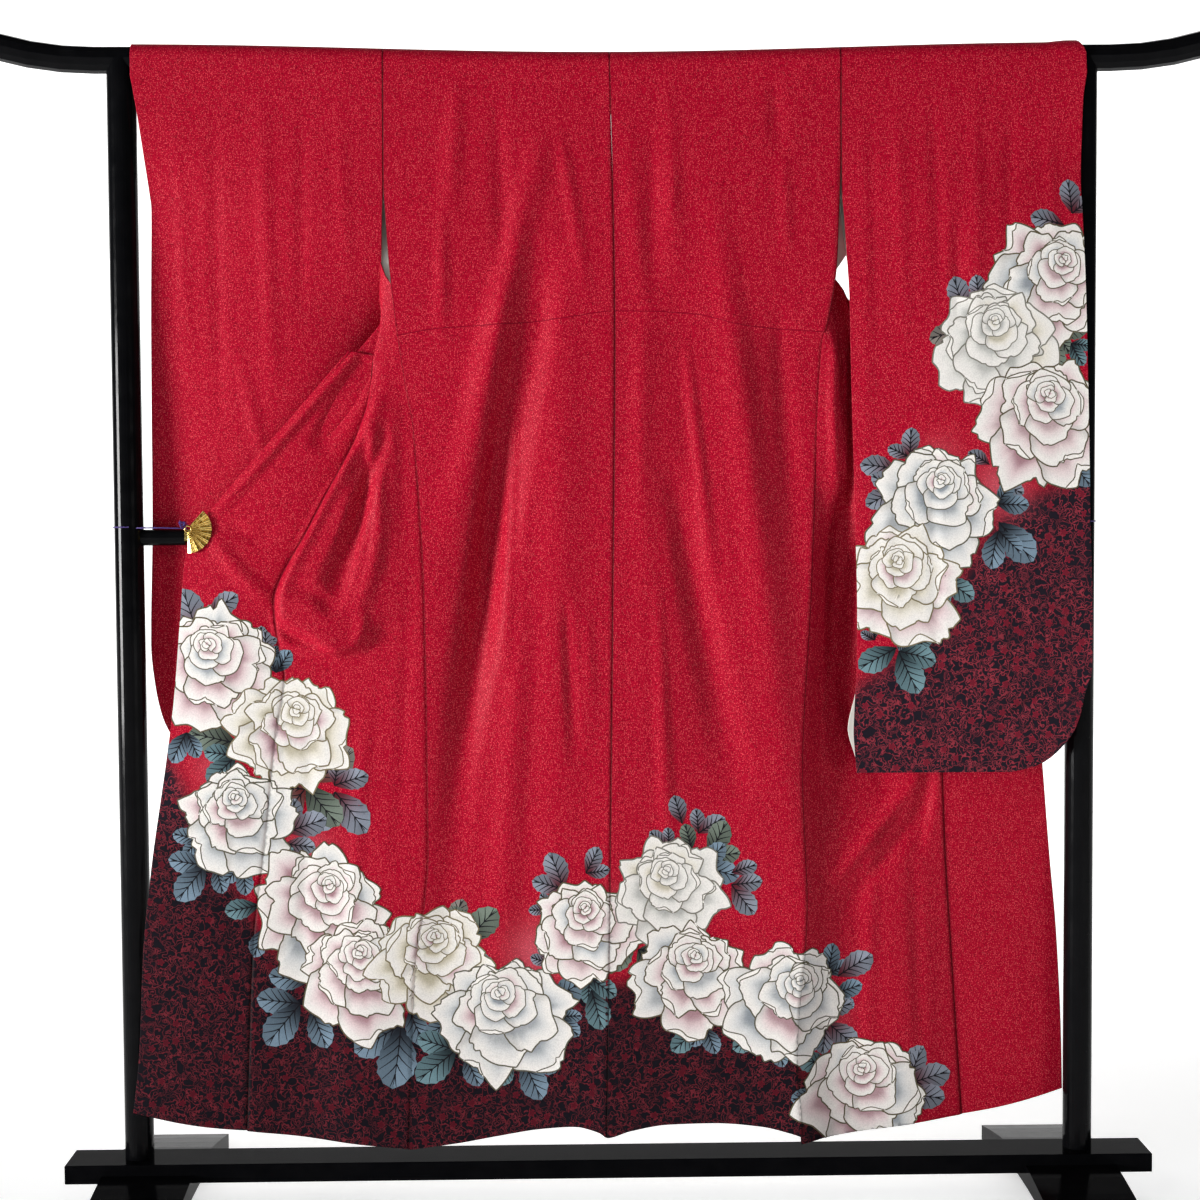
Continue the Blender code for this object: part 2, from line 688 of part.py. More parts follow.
def make_foot(side, name):
    """Arched foot that runs from front to back under a post, notched for the rail."""
    notch = RAIL_DEPTH / 2 + TOUCH
    notch_floor = RAIL_TOP_Z - RAIL_THICKNESS - TOUCH
    inside = FOOT_HALF_LENGTH - FOOT_PAD
    outline = [(FOOT_HALF_LENGTH, 0.0)]
    top_places = (280, 230, 180, 130, 80)
    outline += [(y, foot_top(y)) for y in top_places]
    outline += [(notch, foot_top(notch)), (notch, notch_floor)]
    outline += [(-notch, notch_floor), (-notch, foot_top(notch))]
    outline += [(-y, foot_top(y)) for y in reversed(top_places)]
    outline += [(-FOOT_HALF_LENGTH, 0.0), (-inside, 0.0)]
    arch_steps = 10
    for n in range(1, arch_steps):
        y = blend(-inside, inside, n / arch_steps)
        outline.append((y, FOOT_ARCH_Z * math.sqrt(1 - (y / inside) ** 2)))
    outline.append((inside, 0.0))
    curve = bpy.data.curves.new(name, "CURVE")
    curve.dimensions = "2D"
    curve.fill_mode = "BOTH"
    curve.extrude = FOOT_WIDTH / 2 * MM
    spline = curve.splines.new("POLY")
    spline.points.add(len(outline) - 1)
    for point, (y, z) in zip(spline.points, outline):
        point.co = (y * MM, z * MM, 0.0, 1.0)
    spline.use_cyclic_u = True
    foot = bpy.data.objects.new(name, curve)
    foot.rotation_euler = (math.pi / 2, 0, math.pi / 2)
    foot.location = (side * FOOT_X * MM, 0, 0)
    finish(foot, BLACK_LACQUER, 0.12, 0.0)


def make_arm(side, name):
    """Peg arm that stands out from a post towards the middle and carries a clip."""
    start = POST_X - 5
    length = start - ARM_TIP_X - TOUCH
    middle = (start + ARM_TIP_X + TOUCH) / 2
    arm = cylinder(name, ARM_RADIUS, length, (side * middle, 0, ARM_Z), "X", 24)
    finish(arm, BLACK_LACQUER, 0.12, 0.0)
    arm.data.set_sharp_from_angle(angle=math.radians(40))
    socket = cylinder(
        name + "_socket", POST_RADIUS + TOUCH, 6 * ARM_RADIUS, (side * POST_X, 0, ARM_Z), "Z", 48,
    )
    cut(arm, socket)


def make_fan(side, name, y):
    """Pleated gold fan of a clip, spread over the corner of cloth that it holds."""
    rays = 2 * FAN_PLEATS
    radii = (FAN_ROOT, 0.5 * FAN_RADIUS, FAN_RADIUS)
    grid = []
    for radius in radii:
        row = []
        for n in range(rays + 1):
            angle = blend(FAN_FROM, FAN_TO, n / rays)
            ridge = (-1 if n % 2 else 1) * FAN_RELIEF * radius / FAN_RADIUS
            x = -CLIP_X + radius * math.cos(angle)
            row.append(np.array((-side * x, y + ridge, CLIP_Z + radius * math.sin(angle))))
        grid.append(row)
    fan = sheet_object(name, grid, FAN_SHEET, GOLD)
    shader = fan.data.materials[0].node_tree.nodes["Principled BSDF"]
    shader.inputs["Metallic"].default_value = 1.0
    shader.inputs["Roughness"].default_value = 0.25


def make_jaw(side, name, fan_y, cloth_y):
    """Bent plate behind the cloth that the fan grips against, seated on the peg arm's tip."""
    near = fan_y + (FAN_RELIEF + FAN_SHEET) / 2 + TOUCH
    far = cloth_y + JAW_STAND_OFF
    outer = ARM_TIP_X
    bridge = outer - JAW_BRIDGE
    lip = outer - JAW_REACH
    outline = (
        (outer, near), (bridge, near), (bridge, far), (lip, far), (lip, far + JAW_PLATE), (outer, far + JAW_PLATE),
    )
    curve = bpy.data.curves.new(name, "CURVE")
    curve.dimensions = "2D"
    curve.fill_mode = "BOTH"
    curve.extrude = JAW_HEIGHT / 2 * MM
    spline = curve.splines.new("POLY")
    spline.points.add(len(outline) - 1)
    for point, (x, y) in zip(spline.points, outline):
        point.co = (side * x * MM, y * MM, 0.0, 1.0)
    spline.use_cyclic_u = True
    jaw = bpy.data.objects.new(name, curve)
    jaw.location = (0, 0, (CLIP_Z - 1 - JAW_HEIGHT / 2) * MM)
    finish(jaw, GOLD, 0.25, 1.0)


def make_cord(side, name, start_y):
    """Thin cord from a clip along its arm and once round the post."""
    height = ARM_Z + ARM_RADIUS + CORD_ABOVE_ARM
    ring = POST_RADIUS + CORD_RADIUS + TOUCH
    jaw_top = CLIP_Z - 1 + CORD_RADIUS + TOUCH
    route = [(CLIP_X + 1, start_y + 4, jaw_top), (CLIP_X + 12, start_y + 2, jaw_top + 1), (CLIP_X + 38, -14, height)]
    turn_steps = 20
    for n in range(turn_steps):
        angle = math.radians(230 - 330 * n / (turn_steps - 1))
        rise = 1.5 * n / turn_steps
        route.append((POST_X + ring * math.cos(angle), ring * math.sin(angle), height + rise))
    route = [(side * x, y, z) for x, y, z in route]
    tube(name, route, CORD_RADIUS, PURPLE_CORD, 0.6, 0.0, 2)


def new_collection(name):
    """Collection linked to the scene."""
    collection = bpy.data.collections.new(name)
    bpy.context.scene.collection.children.link(collection)
    return collection


for old in list(bpy.data.objects):
    bpy.data.objects.remove(old)
PARTS = new_collection("furisode_on_stand")
CUTTERS = new_collection("cutters")

make_bar()
make_rail()
for side, word in ((-1, "left"), (1, "right")):
    make_post(side, "post_" + word)
    make_foot(side, "foot_" + word)
    make_arm(side, "peg_arm_" + word)
    fan_y = CLIP_CLOTH_Y[side] - FAN_STAND_OFF
    make_fan(side, "clip_fan_" + word, fan_y)
    make_jaw(side, "clip_jaw_" + word, fan_y, CLIP_CLOTH_Y[side])
    make_cord(side, "clip_cord_" + word, fan_y)
    make_body(side, "body_" + word)
    make_okumi(side, "okumi_" + word)
    make_sleeve(side, "sleeve_" + word)
make_collar()
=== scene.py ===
"""Looks of a furisode on a lacquered kimono stand, seen from its back.

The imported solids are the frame. Each panel of cloth is a thin shell on its solid's form, with
finer creases, and the roses, leaves and vines of its print are laid on it. Tables are in
millimetres, and +X is to the viewer's right, -Y towards the viewer.
"""

import math

import bpy
import numpy as np
from mathutils import Matrix, Vector
from mathutils.bvhtree import BVHTree
from mathutils.geometry import delaunay_2d_cdt


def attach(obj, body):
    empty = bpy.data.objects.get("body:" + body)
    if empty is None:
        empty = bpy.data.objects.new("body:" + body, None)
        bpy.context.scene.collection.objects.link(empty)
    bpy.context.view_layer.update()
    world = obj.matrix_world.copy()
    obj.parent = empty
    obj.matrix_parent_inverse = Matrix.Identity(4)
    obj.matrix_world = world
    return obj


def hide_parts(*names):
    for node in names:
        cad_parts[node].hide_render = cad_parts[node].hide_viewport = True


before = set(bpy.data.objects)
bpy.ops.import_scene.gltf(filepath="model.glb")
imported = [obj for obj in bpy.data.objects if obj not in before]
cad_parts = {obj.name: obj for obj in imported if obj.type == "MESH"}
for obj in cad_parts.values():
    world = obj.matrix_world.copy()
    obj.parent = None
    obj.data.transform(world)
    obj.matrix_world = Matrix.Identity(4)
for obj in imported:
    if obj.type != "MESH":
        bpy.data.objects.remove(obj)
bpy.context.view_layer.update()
MM = 0.001
SIDES = ((-1, "left"), (1, "right"))

# Cloth, in millimetres: CLOTH is a solid's thickness and SILK a shell's
CLOTH = 2.0
SILK = 1.5
SEAM_GAP = 0.4
LAP = CLOTH + SEAM_GAP

# Stand, in millimetres
POST_X = 677.5
POST_RADIUS = 20.5
BAR_RADIUS = 19.0
BAR_CENTRE_Z = 1637.0
BAR_SAG = 12.0
BAR_BEND_X = 715.0
BAR_BEND_RADIUS = 485.0
ARM_RADIUS = 11.5
ARM_Z = 967.0
TOUCH = 0.3

# Cloth over the bar
BAR_GAP = 0.9
WRAP_RADIUS = BAR_RADIUS + BAR_GAP + CLOTH / 2
NECK_EDGE_Z = 1612.0
NECK_SHARE = 0.25
CUFF_OPENING = 2.5
CUFF_OPENING_FROM_X = 620.0
CUFF_OPENING_OVER = 35.0

# How the back hangs, in millimetres. FINE_DEPTH is a factor on its finer folds
SIDE_TOP_X = 330.0
SIDE_HEM_X = 290.0
BACK_FALL = 4.0
BACK_LEAN = 2.0
HEM_BILLOW = 7.0
HEM_BILLOW_FROM = 0.45
FINE_DEPTH = 2.3
TUCK_STEP = 1.4
TUCK_DEPTH = 70.0
SEAM_ROLL = 5.0
SEAM_SINK = 2.2
# The right part of the back turns away beside a slanting line
TURN_AWAY = 9.5
TURN_LINE_X = 185
TURN_LINE_Z = 1211
TURN_LINE_SLOPE = 0.105
TURN_OVER = 70

# Fronts and overlap panels. POUCH_SHARE is a factor on the depth of the drawn-up cloth
ARMHOLE_SAG_Y = 13.0
ARMHOLE_SAG_Z = 14.0
OPENING_TWIST = {-1: -10.2, 1: 30.0}
OPENING_TURN = 5.0
POUCH_SHARE = 0.68
RIGHT_FRONT_BILLOW = 13.0
RIGHT_WELL = 17.0
RIGHT_FORWARD = 9.0
LOWER_WAVE = 6.0
SIDE_SEAM_LAP = 3.0
OKUMI_WIDTH = 155.0
OKUMI_LENGTH = 1180.0
OKUMI_LAP = 3.0
OKUMI_BELLY = {-1: 4.0, 1: 1.2}
OKUMI_DIP = 4.0
RIGHT_OKUMI_STEP = 1.4
ROLLED_EDGE = 2.6

# Sleeves. The far layer of the right one lets its lining peep out at PEEP_Z and hides it elsewhere
SLEEVE_WIDTH = 335.0
SLEEVE_PUFF = {-1: 7.0, 1: 2.45}
LEFT_SLEEVE_TURN = 15.0
LEFT_SLEEVE_DIP = 8.0
RIGHT_SLEEVE_TURN = 14.0
LINING_HIDE = 3.0
LINING_PEEP = 7.0
PEEP_Z = 690
PEEP_HALF_HEIGHT = 62

# Where these are felt, by height or by table row: start, rise after it, end, fall before it
TURN_AWAY_SPAN = (200, 300, 1340, 150)
SLACK_SPAN = (0.0, 0.5, 1.0, 0.25)
OPENING_SPAN = {-1: (0.86, 0.14, 1.10, 0.14), 1: (0.72, 0.14, 1.10, 0.14)}
WELL_SPAN = (1.26, 0.14, 1.72, 0.14)
FORWARD_SPAN = (0.98, 0.05, 1.34, 0.14)
POUCH_CREASE_SPAN = (1.20, 0.05, 1.42, 0.06)
PUFF_SPAN = (630, 130, 1560, 200)
LEFT_SLEEVE_SPAN = (780, 200, 1350, 120)
RIGHT_SLEEVE_SPAN = (620, 200, 1520, 200)

# Gold clips and their cords
CLIP_X = 592.0
CLIP_Z = 979.0
CLIP_CLOTH_Y = {-1: -9.0, 1: -2.0}
FAN_RADIUS = 34.0
FAN_ROOT = 5.0
FAN_PLEATS = 8
FAN_FROM = math.radians(48)
FAN_TO = math.radians(-90)
FAN_RELIEF = 1.5
FAN_SHEET = 1.2
FAN_STAND_OFF = 7.0
CORD_RADIUS = 1.0
CORD_ABOVE_ARM = 2.5

# Outlines, height first: (z, x) down each edge
CENTRE_SEAM = ((1660, 7), (1283, 13), (875, 8), (493, 2), (100, -5))
LEFT_SIDE = (
    (1660, -309), (1454, -310), (1436, -309), (1364, -304.5), (1283, -297), (1187, -284),
    (1117, -272), (877, -259), (659, -257), (517, -257), (452, -262), (353, -277), (80, -289),
)
RIGHT_SIDE = (
    (1660, 332), (1505, 332), (1440, 330), (1346, 326), (1272, 315), (1224, 305),
    (873, 290), (622, 277), (435, 283), (224, 268), (90, 277),
)
# Hem of the two back panels: (x, z)
BACK_HEM = (
    (-292, 89), (-217, 97), (-162, 106), (-97, 116), (-52, 119), (-15, 110), (-5, 103),
    (29, 112), (84, 120), (150, 121), (216, 116), (259, 106), (280, 99),
)

# Soft folds of the back, one a row: foot is the lower end, a depth below 0 is a trough
BACK_FOLDS = (
    # top_x, top_z, foot_x, foot_z, half_width, depth
    (-97, 1480, -264, 270, 26, -9),
    (-150, 1180, -264, 250, 62, -10),
    (-54, 1400, -66, 380, 42, 5.5),
    (-118, 880, -160, 300, 24, 3.5),
    (64, 1390, 44, 600, 20, 3),
    (92, 1400, 165, 480, 46, -4),
)

# Height of the side seam's point on each row below the side opening
SEAM_ROW_HEIGHT = (
    (1.00, 1283), (1.12, 1190), (1.20, 1130), (1.30, 1020), (1.38, 930), (1.44, 860),
    (1.48, 810), (1.55, 710), (1.67, 560), (1.78, 410), (1.90, 250), (2.00, 89),
)
# Seam between front and overlap panel, and above row 1.0 the neck edge
LEFT_FRONT_SEAM = (
    # row, x, y, z
    (0.00, -82, 20.9, 1612),
    (0.35, -140, 20.0, 1530),
    (0.65, -215, 14.0, 1440),
    (0.85, -278, 12.0, 1345),
    (0.92, -302, 4.0, 1308),
    (1.00, -313, -6.0, 1262),
    (1.05, -327, -10.0, 1222),
    (1.12, -334, -11.0, 1165),
    (1.20, -350, -11.5, 1115),
    (1.30, -417, -12.0, 988),
    (1.38, -472, -13.5, 873),
    (1.44, -465, -16.0, 808),
    (1.48, -458, -17.5, 769),
    (1.55, -472, -19.5, 678),
    (1.67, -488, -22.5, 532),
    (1.78, -506, -25.5, 391),
    (2.00, -518, -30.0, 121),
)
RIGHT_FRONT_SEAM = (
    # row, x, y, z
    (0.00, 98, 20.9, 1612),
    (0.35, 158, 20.5, 1530),
    (0.65, 235, 18.0, 1445),
    (0.85, 303, 15.0, 1365),
    (0.92, 323, 13.0, 1336),
    (1.00, 345, 9.0, 1300),
    (1.12, 358, 6.0, 1190),
    (1.20, 375, 6.0, 1120),
    (1.30, 420, 6.0, 1000),
    (1.38, 460, 7.0, 890),
    (1.44, 474, 8.0, 815),
    (1.48, 478, 9.0, 765),
    (1.55, 481, 11.0, 678),
    (1.67, 487, 14.0, 520),
    (1.78, 496, 17.0, 380),
    (2.00, 514, 22.0, 118),
)
# Free edge of each overlap panel, from the neck edge's foot round the clipped corner to the hem
LEFT_FREE_EDGE = (
    # row, x, y, z
    (1.00, -322, -12.0, 1274),
    (1.12, -420, -12.0, 1163),
    (1.25, -540, -10.5, 1028),
    (1.30, -577, -9.0, 982),
    (1.36, -597, -10.0, 936),
    (1.44, -605, -12.0, 851),
    (1.53, -615, -15.0, 738),
    (1.60, -627, -17.0, 650),
    (1.70, -650, -21.0, 497),
    (1.79, -662, -26.0, 383),
    (1.91, -671, -27.0, 225),
    (2.00, -680, -28.0, 148),
)
RIGHT_FREE_EDGE = (
    # row, x, y, z
    (1.00, 350, 8.0, 1305),
    (1.12, 434, 5.0, 1190),
    (1.25, 540, 0.0, 1045),
    (1.30, 578, -2.0, 984),
    (1.36, 592, 0.0, 930),
    (1.44, 606, 7.0, 840),
    (1.53, 619, 14.0, 735),
    (1.60, 627, 20.0, 660),
    (1.70, 641, 24.0, 500),
    (1.79, 652, 26.5, 385),
    (1.91, 660, 27.0, 235),
    (2.00, 662, 27.5, 153),
)
OKUMI_FIRST_ROW = 1.05
# Drawn-up cloth of the left front: its lower edge, its depth and the crease down its middle
POUCH_FOOT = (
    # across, row
    (0.0, 1.43), (0.3, 1.44), (0.45, 1.465), (0.6, 1.465), (0.8, 1.435), (1.0, 1.40),
)
POUCH_GROWTH = (
    # row, depth
    (1.05, 0), (1.10, 5), (1.16, 11), (1.25, 16), (1.36, 24), (1.50, 27),
)
POUCH_CREASE = (
    # row, across
    (1.18, 0.50), (1.44, 0.62),
)
POUCH_CREASE_DEPTH = 9.0
POUCH_CREASE_HALF_WIDTH = 0.16

# Sleeves: outline and depth by height. gap is half the space between the two layers
LEFT_SLEEVE = (
    # z, inner_x, outer_x, inner_y, outer_y, inner_gap, outer_gap
    (1612, -309.8, -661, 0, 0, 20.9, 20.9),
    (1564, -310.1, -653, 0, 0, 21.2, 21.0),
    (1500, -310.4, -645, 0, 0, 21.5, 14.0),
    (1452, -310.7, -640, 0, 0, 21.5, 4.0),
    (1429, -312, -638, -1, 0, 20.5, 1.2),
    (1356, -315, -640, 5, 3, 13.0, 1.2),
    (1290, -318, -642, 12, 6, 10.5, 1.2),
    (1161, -322, -645, 14, 14, 10.0, 1.2),
    (975, -324, -648, 15, 20, 9.0, 1.2),
    (813, -326, -652, 15, 17, 9.0, 1.2),
    (753, -327, -646, 14, 14, 8.0, 1.2),
    (711, -327, -637, 14, 14, 7.0, 1.2),
    (681, -327, -623, 14, 14, 5.0, 1.2),
    (655, -327, -603, 14, 14, 3.5, 1.2),
    (636, -327, -575, 14, 14, 2.0, 1.2),
    (627, -327, -540, 14, 14, 1.2, 1.2),
)
RIGHT_SLEEVE = (
    # z, inner_x, outer_x, inner_y, outer_y, inner_gap, outer_gap
    (1612, 332.6, 678, 0, 0, 20.9, 23.4),
    (1574, 332.6, 673, 0, 0, 21.2, 23.2),
    (1516, 332.7, 671, 0, -4, 21.5, 19.0),
    (1448, 333.4, 669, -1, -21, 20.5, 4.0),
    (1416, 336, 670, -6, -26, 16.5, 1.2),
    (1350, 340, 672, -18, -26, 9.5, 1.2),
    (1298, 343, 674, -22, -26, 7.0, 1.2),
    (1200, 345, 677, -23, -26, 7.0, 1.2),
    (988, 351, 682, -23, -26, 7.0, 1.2),
    (842, 354, 686, -23, -26, 7.0, 1.2),
    (772, 353, 686, -23, -27, 7.0, 1.2),
    (739, 351, 677, -23, -27, 6.5, 1.2),
    (712, 350, 672, -23, -27, 6.0, 1.2),
    (685, 349, 663, -23, -27, 5.0, 1.2),
    (658, 351, 643, -23, -27, 3.5, 1.2),
    (635, 353, 612, -23, -27, 2.0, 1.2),
    (626, 354, 575, -23, -26, 1.2, 1.2),
)
# The far layer of the right sleeve stops beside the post while it is behind it: (z, x)
RIGHT_FAR_LIMIT = ((1612, 650), (1460, 650), (1425, 654), (1395, 671), (1300, 673))

# Collar band: its sewn edge from one clip round the neck to the other
COLLAR_WIDTH = 55.0
COLLAR_PATH = (
    # step, x, y, z, drop_x, drop_z
    (0.00, -574, -5.5, 977, 0.30, -0.95),
    (0.08, -520, -7.0, 1046, 0.45, -0.89),
    (0.20, -420, -8.0, 1159, 0.55, -0.83),
    (0.30, -320, -6.0, 1264, 0.55, -0.83),
    (0.306, -314, -4.0, 1274, 0.55, -0.83),
    (0.33, -299, 10.5, 1311, 0.53, -0.85),
    (0.36, -268, 19.0, 1358, 0.50, -0.86),
    (0.42, -200, 21.0, 1452, 0.35, -0.93),
    (0.48, -122, 23.8, 1556, 0.15, -0.98),
    (0.53, -76, 24.0, 1606, 0.04, -1.00),
    (0.60, 8, 24.0, 1619, 0.00, -1.00),
    (0.67, 92, 24.0, 1606, -0.04, -1.00),
    (0.72, 140, 24.0, 1556, -0.15, -0.98),
    (0.78, 222, 23.5, 1452, -0.35, -0.93),
    (0.84, 296, 20.0, 1364, -0.50, -0.86),
    (0.90, 350, 14.5, 1297, -0.55, -0.83),
    (1.00, 434, 10.5, 1186, -0.55, -0.83),
    (1.12, 540, 7.0, 1041, -0.45, -0.89),
    (1.20, 574, 4.6, 978, -0.30, -0.95),
)


# Finer creases of the back, one a row, besides the main folds
FINE_FOLDS = (
    # top_x, top_z, foot_x, foot_z, half_width, depth
    (-86, 1530, -226, 940, 30, 5.0),
    (-74, 1380, -244, 540, 34, -6.5),
    (-150, 1160, -192, 880, 13, -2.6),
    (-62, 1535, -22, 1286, 13, 2.6),
    (-9, 1580, 5, 1290, 12, -2.4),
    (26, 1575, 46, 1290, 16, 3.4),
    (49, 1290, 40, 960, 18, 3.6),
    (64, 1545, 68, 1290, 14, -2.4),
    (86, 1080, 186, 590, 28, -3.4),
    (152, 1455, 262, 590, 30, 2.6),
    (246, 1290, 272, 900, 20, -3.0),
    (-228, 1420, -232, 1230, 13, 2.2),
    (97, 1480, 90, 1400, 9, 1.2),
    (252, 1500, 256, 1360, 11, 1.4),
    (-59, 880, -46, 640, 12, -2.6),
    (-28, 860, -20, 700, 11, 2.2),
    (-205, 1606, -222, 1400, 18, 1.6),
    (-150, 1580, -140, 1300, 15, -1.3),
    (88, 1610, 100, 1320, 16, 1.2),
    (238, 1604, 246, 1500, 15, -1.4),
    (-128, 1180, -150, 760, 12, 2.0),
    (112, 1240, 150, 900, 12, 2.0),
    (10, 1000, 6, 520, 12, 2.0),
    (70, 900, 84, 520, 13, 2.2),
)
# The tuck that shortens the back above the waist: (x, z)
TUCK_LINE = (
    (-300, 1248), (-233, 1259), (-147, 1264), (-64, 1272), (13, 1282), (69, 1281), (127, 1277),
    (196, 1261), (330, 1250),
)
# Armhole edge of each front, drawn outwards behind the slit below the sleeve
LEFT_ROW_SIDE = (
    # row, out, y, z
    (0.00, 0, 20.9, 1612),
    (0.35, 0, 21.0, 1520),
    (0.58, 6, 20.0, 1450),
    (0.75, 15, 11.0, 1404),
    (0.86, 19, -2.0, 1376),
    (0.93, 12, -9.0, 1352),
    (0.97, 8, -15.0, 1337),
    (1.00, 3, -20.0, 1322),
)
RIGHT_ROW_SIDE = (
    # row, out, y, z
    (0.00, 0, 20.9, 1612),
    (0.35, 0, 21.0, 1520),
    (0.58, 9, 21.0, 1452),
    (0.70, 19, 19.0, 1412),
    (0.80, 20, 12.0, 1374),
    (0.85, 14, 6.0, 1357),
    (0.88, 3, 0.0, 1343),
    (0.92, 0, -9.0, 1318),
    (1.00, 0, -20.0, 1283),
)
LEFT_SEAM_HEIGHT = ((1.00, 1322), (1.12, 1205), (1.20, 1136)) + SEAM_ROW_HEIGHT[3:]
# Soft creases of the sleeves, each a straight line from one end to the other
LEFT_SLEEVE_CREASES = (
    # top_x, top_z, foot_x, foot_z, half_width, depth
    (-640, 868, -585, 872, 7, -1.8),
    (-600, 1560, -590, 1180, 16, 2.0),
    (-545, 1585, -548, 1120, 15, -2.0),
    (-480, 1590, -470, 1150, 18, 2.4),
    (-420, 1580, -428, 1260, 14, -1.8),
    (-372, 1590, -360, 1290, 15, 1.8),
    (-520, 1230, -470, 1010, 16, 2.2),
)
RIGHT_SLEEVE_CREASES = (
    (366, 1560, 362, 700, 20, 3.0),
    (496, 1420, 492, 1250, 14, -3.0),
    (372, 1590, 380, 1240, 14, -2.0),
    (410, 1600, 420, 1220, 16, 2.2),
    (462, 1590, 470, 1260, 15, -2.2),
    (520, 1600, 522, 1200, 17, 2.0),
    (575, 1590, 560, 1270, 15, -2.0),
    (624, 1590, 634, 1280, 14, 1.8),
    (392, 1150, 398, 760, 15, 1.8),
    (455, 1120, 470, 740, 16, -1.8),
    (560, 1050, 556, 700, 18, 1.8),
)
# Creases of the two opened fronts, in the same form
LEFT_FRONT_CREASES = (
    (-300, 1150, -300, 930, 14, 2.2),
    (-275, 940, -300, 500, 16, -2.2),
    (-340, 760, -370, 380, 18, 2.4),
    (-420, 720, -440, 330, 16, -2.2),
)
RIGHT_FRONT_CREASES = (
    (342, 1060, 322, 760, 20, -8.0),
    (358, 1180, 372, 700, 16, 5.0),
    (330, 1100, 318, 700, 14, -3.0),
    (380, 560, 372, 180, 18, 2.6),
    (440, 540, 452, 170, 16, -2.4),
    (318, 640, 322, 240, 14, 2.4),
)
# Bent creases, each drawn from its top
LEFT_FRONT_PATHS = (
    # ((x, z), ...), left_half_width, right_half_width, depth
    # rolled free edge, and the valley inside it
    (((-334, 1247), (-433, 1134), (-555, 996)), 8, 14, 7.0),
    (((-334, 1216), (-365, 1165), (-411, 1091)), 24, 26, -10.0),
    # lip of the overlap seam, and the valley and ridge beside it
    (((-320, 1168), (-337, 1117), (-400, 1020), (-441, 940), (-466, 880)), 7, 22, 7.0),
    (((-342, 1115), (-341, 1060), (-348, 992), (-361, 936), (-377, 885), (-384, 856)), 28, 13, -7.0),
    (((-329, 1125), (-321, 1055), (-320, 995), (-331, 925), (-349, 870), (-355, 843)), 16, 22, 6.0),
    # lower lip of the drawn-up cloth
    (((-473, 871), (-470, 836), (-447, 813), (-400, 805), (-360, 812), (-344, 840), (-341, 857)), 7, 15, 8.0),
    (((-461, 903), (-419, 891), (-384, 863)), 16, 16, -5.0),
    (((-560, 972), (-518, 916), (-476, 876)), 20, 18, 5.0),
    (((-535, 985), (-497, 965), (-462, 985)), 16, 16, -4.0),
)
RIGHT_FRONT_PATHS = (
    (((328, 1290), (322, 1150), (330, 1010)), 14, 12, 5.0),
    (((354, 1240), (350, 1100), (352, 960)), 12, 12, -6.0),
    (((372, 960), (350, 880), (344, 760)), 20, 16, -9.0),
    (((452, 622), (410, 568), (350, 497), (322, 462)), 18, 16, 8.0),
    (((462, 590), (425, 530), (362, 456), (335, 420)), 16, 20, -6.0),
    (((330, 800), (352, 690), (400, 600)), 18, 18, -5.0),
    (((470, 660), (462, 580), (448, 505)), 26, 10, -6.0),
)
RIGHT_SLEEVE_PATHS = (
    (((690, 776), (640, 756), (600, 728), (565, 703), (532, 681)), 9, 16, -6.0),
    (((692, 752), (650, 734), (606, 706), (572, 684)), 12, 10, 4.5),
)

# The same tables by side
SIDE_EDGE = {-1: LEFT_SIDE, 1: RIGHT_SIDE}
ROW_SIDE = {-1: LEFT_ROW_SIDE, 1: RIGHT_ROW_SIDE}
SEAM_HEIGHT = {-1: LEFT_SEAM_HEIGHT, 1: SEAM_ROW_HEIGHT}
FRONT_SEAM = {-1: LEFT_FRONT_SEAM, 1: RIGHT_FRONT_SEAM}
FREE_EDGE = {-1: LEFT_FREE_EDGE, 1: RIGHT_FREE_EDGE}
FRONT_CREASES = {-1: LEFT_FRONT_CREASES, 1: RIGHT_FRONT_CREASES}
FRONT_PATHS = {-1: LEFT_FRONT_PATHS, 1: RIGHT_FRONT_PATHS}
SLEEVE = {-1: LEFT_SLEEVE, 1: RIGHT_SLEEVE}
SLEEVE_CREASES = {-1: LEFT_SLEEVE_CREASES, 1: RIGHT_SLEEVE_CREASES}
SLEEVE_PATHS = {-1: (), 1: RIGHT_SLEEVE_PATHS}


def smooth(keys, values, at):
    """Values at keys on a smooth curve through a table's rows, which never overshoots them."""
    keys = np.asarray(keys, float)
    values = np.asarray(values, float)
    if keys[0] > keys[-1]:
        keys = keys[::-1]
        values = values[::-1]
    at = np.clip(at, keys[0], keys[-1])
    step = np.diff(keys)
    slope = np.diff(values) / step
    tangent = np.concatenate(([slope[0]], np.zeros(len(keys) - 2), [slope[-1]]))
    for i in range(1, len(keys) - 1):
        if slope[i - 1] * slope[i] > 0:
            tangent[i] = 2 * slope[i - 1] * slope[i] / (slope[i - 1] + slope[i])
    i = np.clip(np.searchsorted(keys, at, side="right") - 1, 0, len(step) - 1)
    t = (at - keys[i]) / step[i]
    rise = values[i + 1] - values[i]
    start = tangent[i] * step[i]
    end = tangent[i + 1] * step[i]
    return values[i] + t * start + t * t * (3 * rise - 2 * start - end) + t ** 3 * (start + end - 2 * rise)


def look_up(table, at):
    """All the later columns of a table, at values of its first column."""
    columns = np.asarray(table, float).T
    return [smooth(columns[0], column, at) for column in columns[1:]]


def blend(low, high, t):
    """Even mix of two values."""
    return low + (high - low) * t


def ease(t):
    """0 to 1 with level ends."""
    t = np.clip(t, 0.0, 1.0)
    return t * t * (3 - 2 * t)


def hump(distance, half_width):
    """1 on a fold's line, 0 at its sides, level at both."""
    return ease(1 - np.abs(distance) / half_width)


def window(at, start, rise, end, fall):
    """1 in the middle of a stretch, easing in over rise after its start and out over fall before its end."""
    return ease((at - start) / rise) * ease((end - at) / fall)


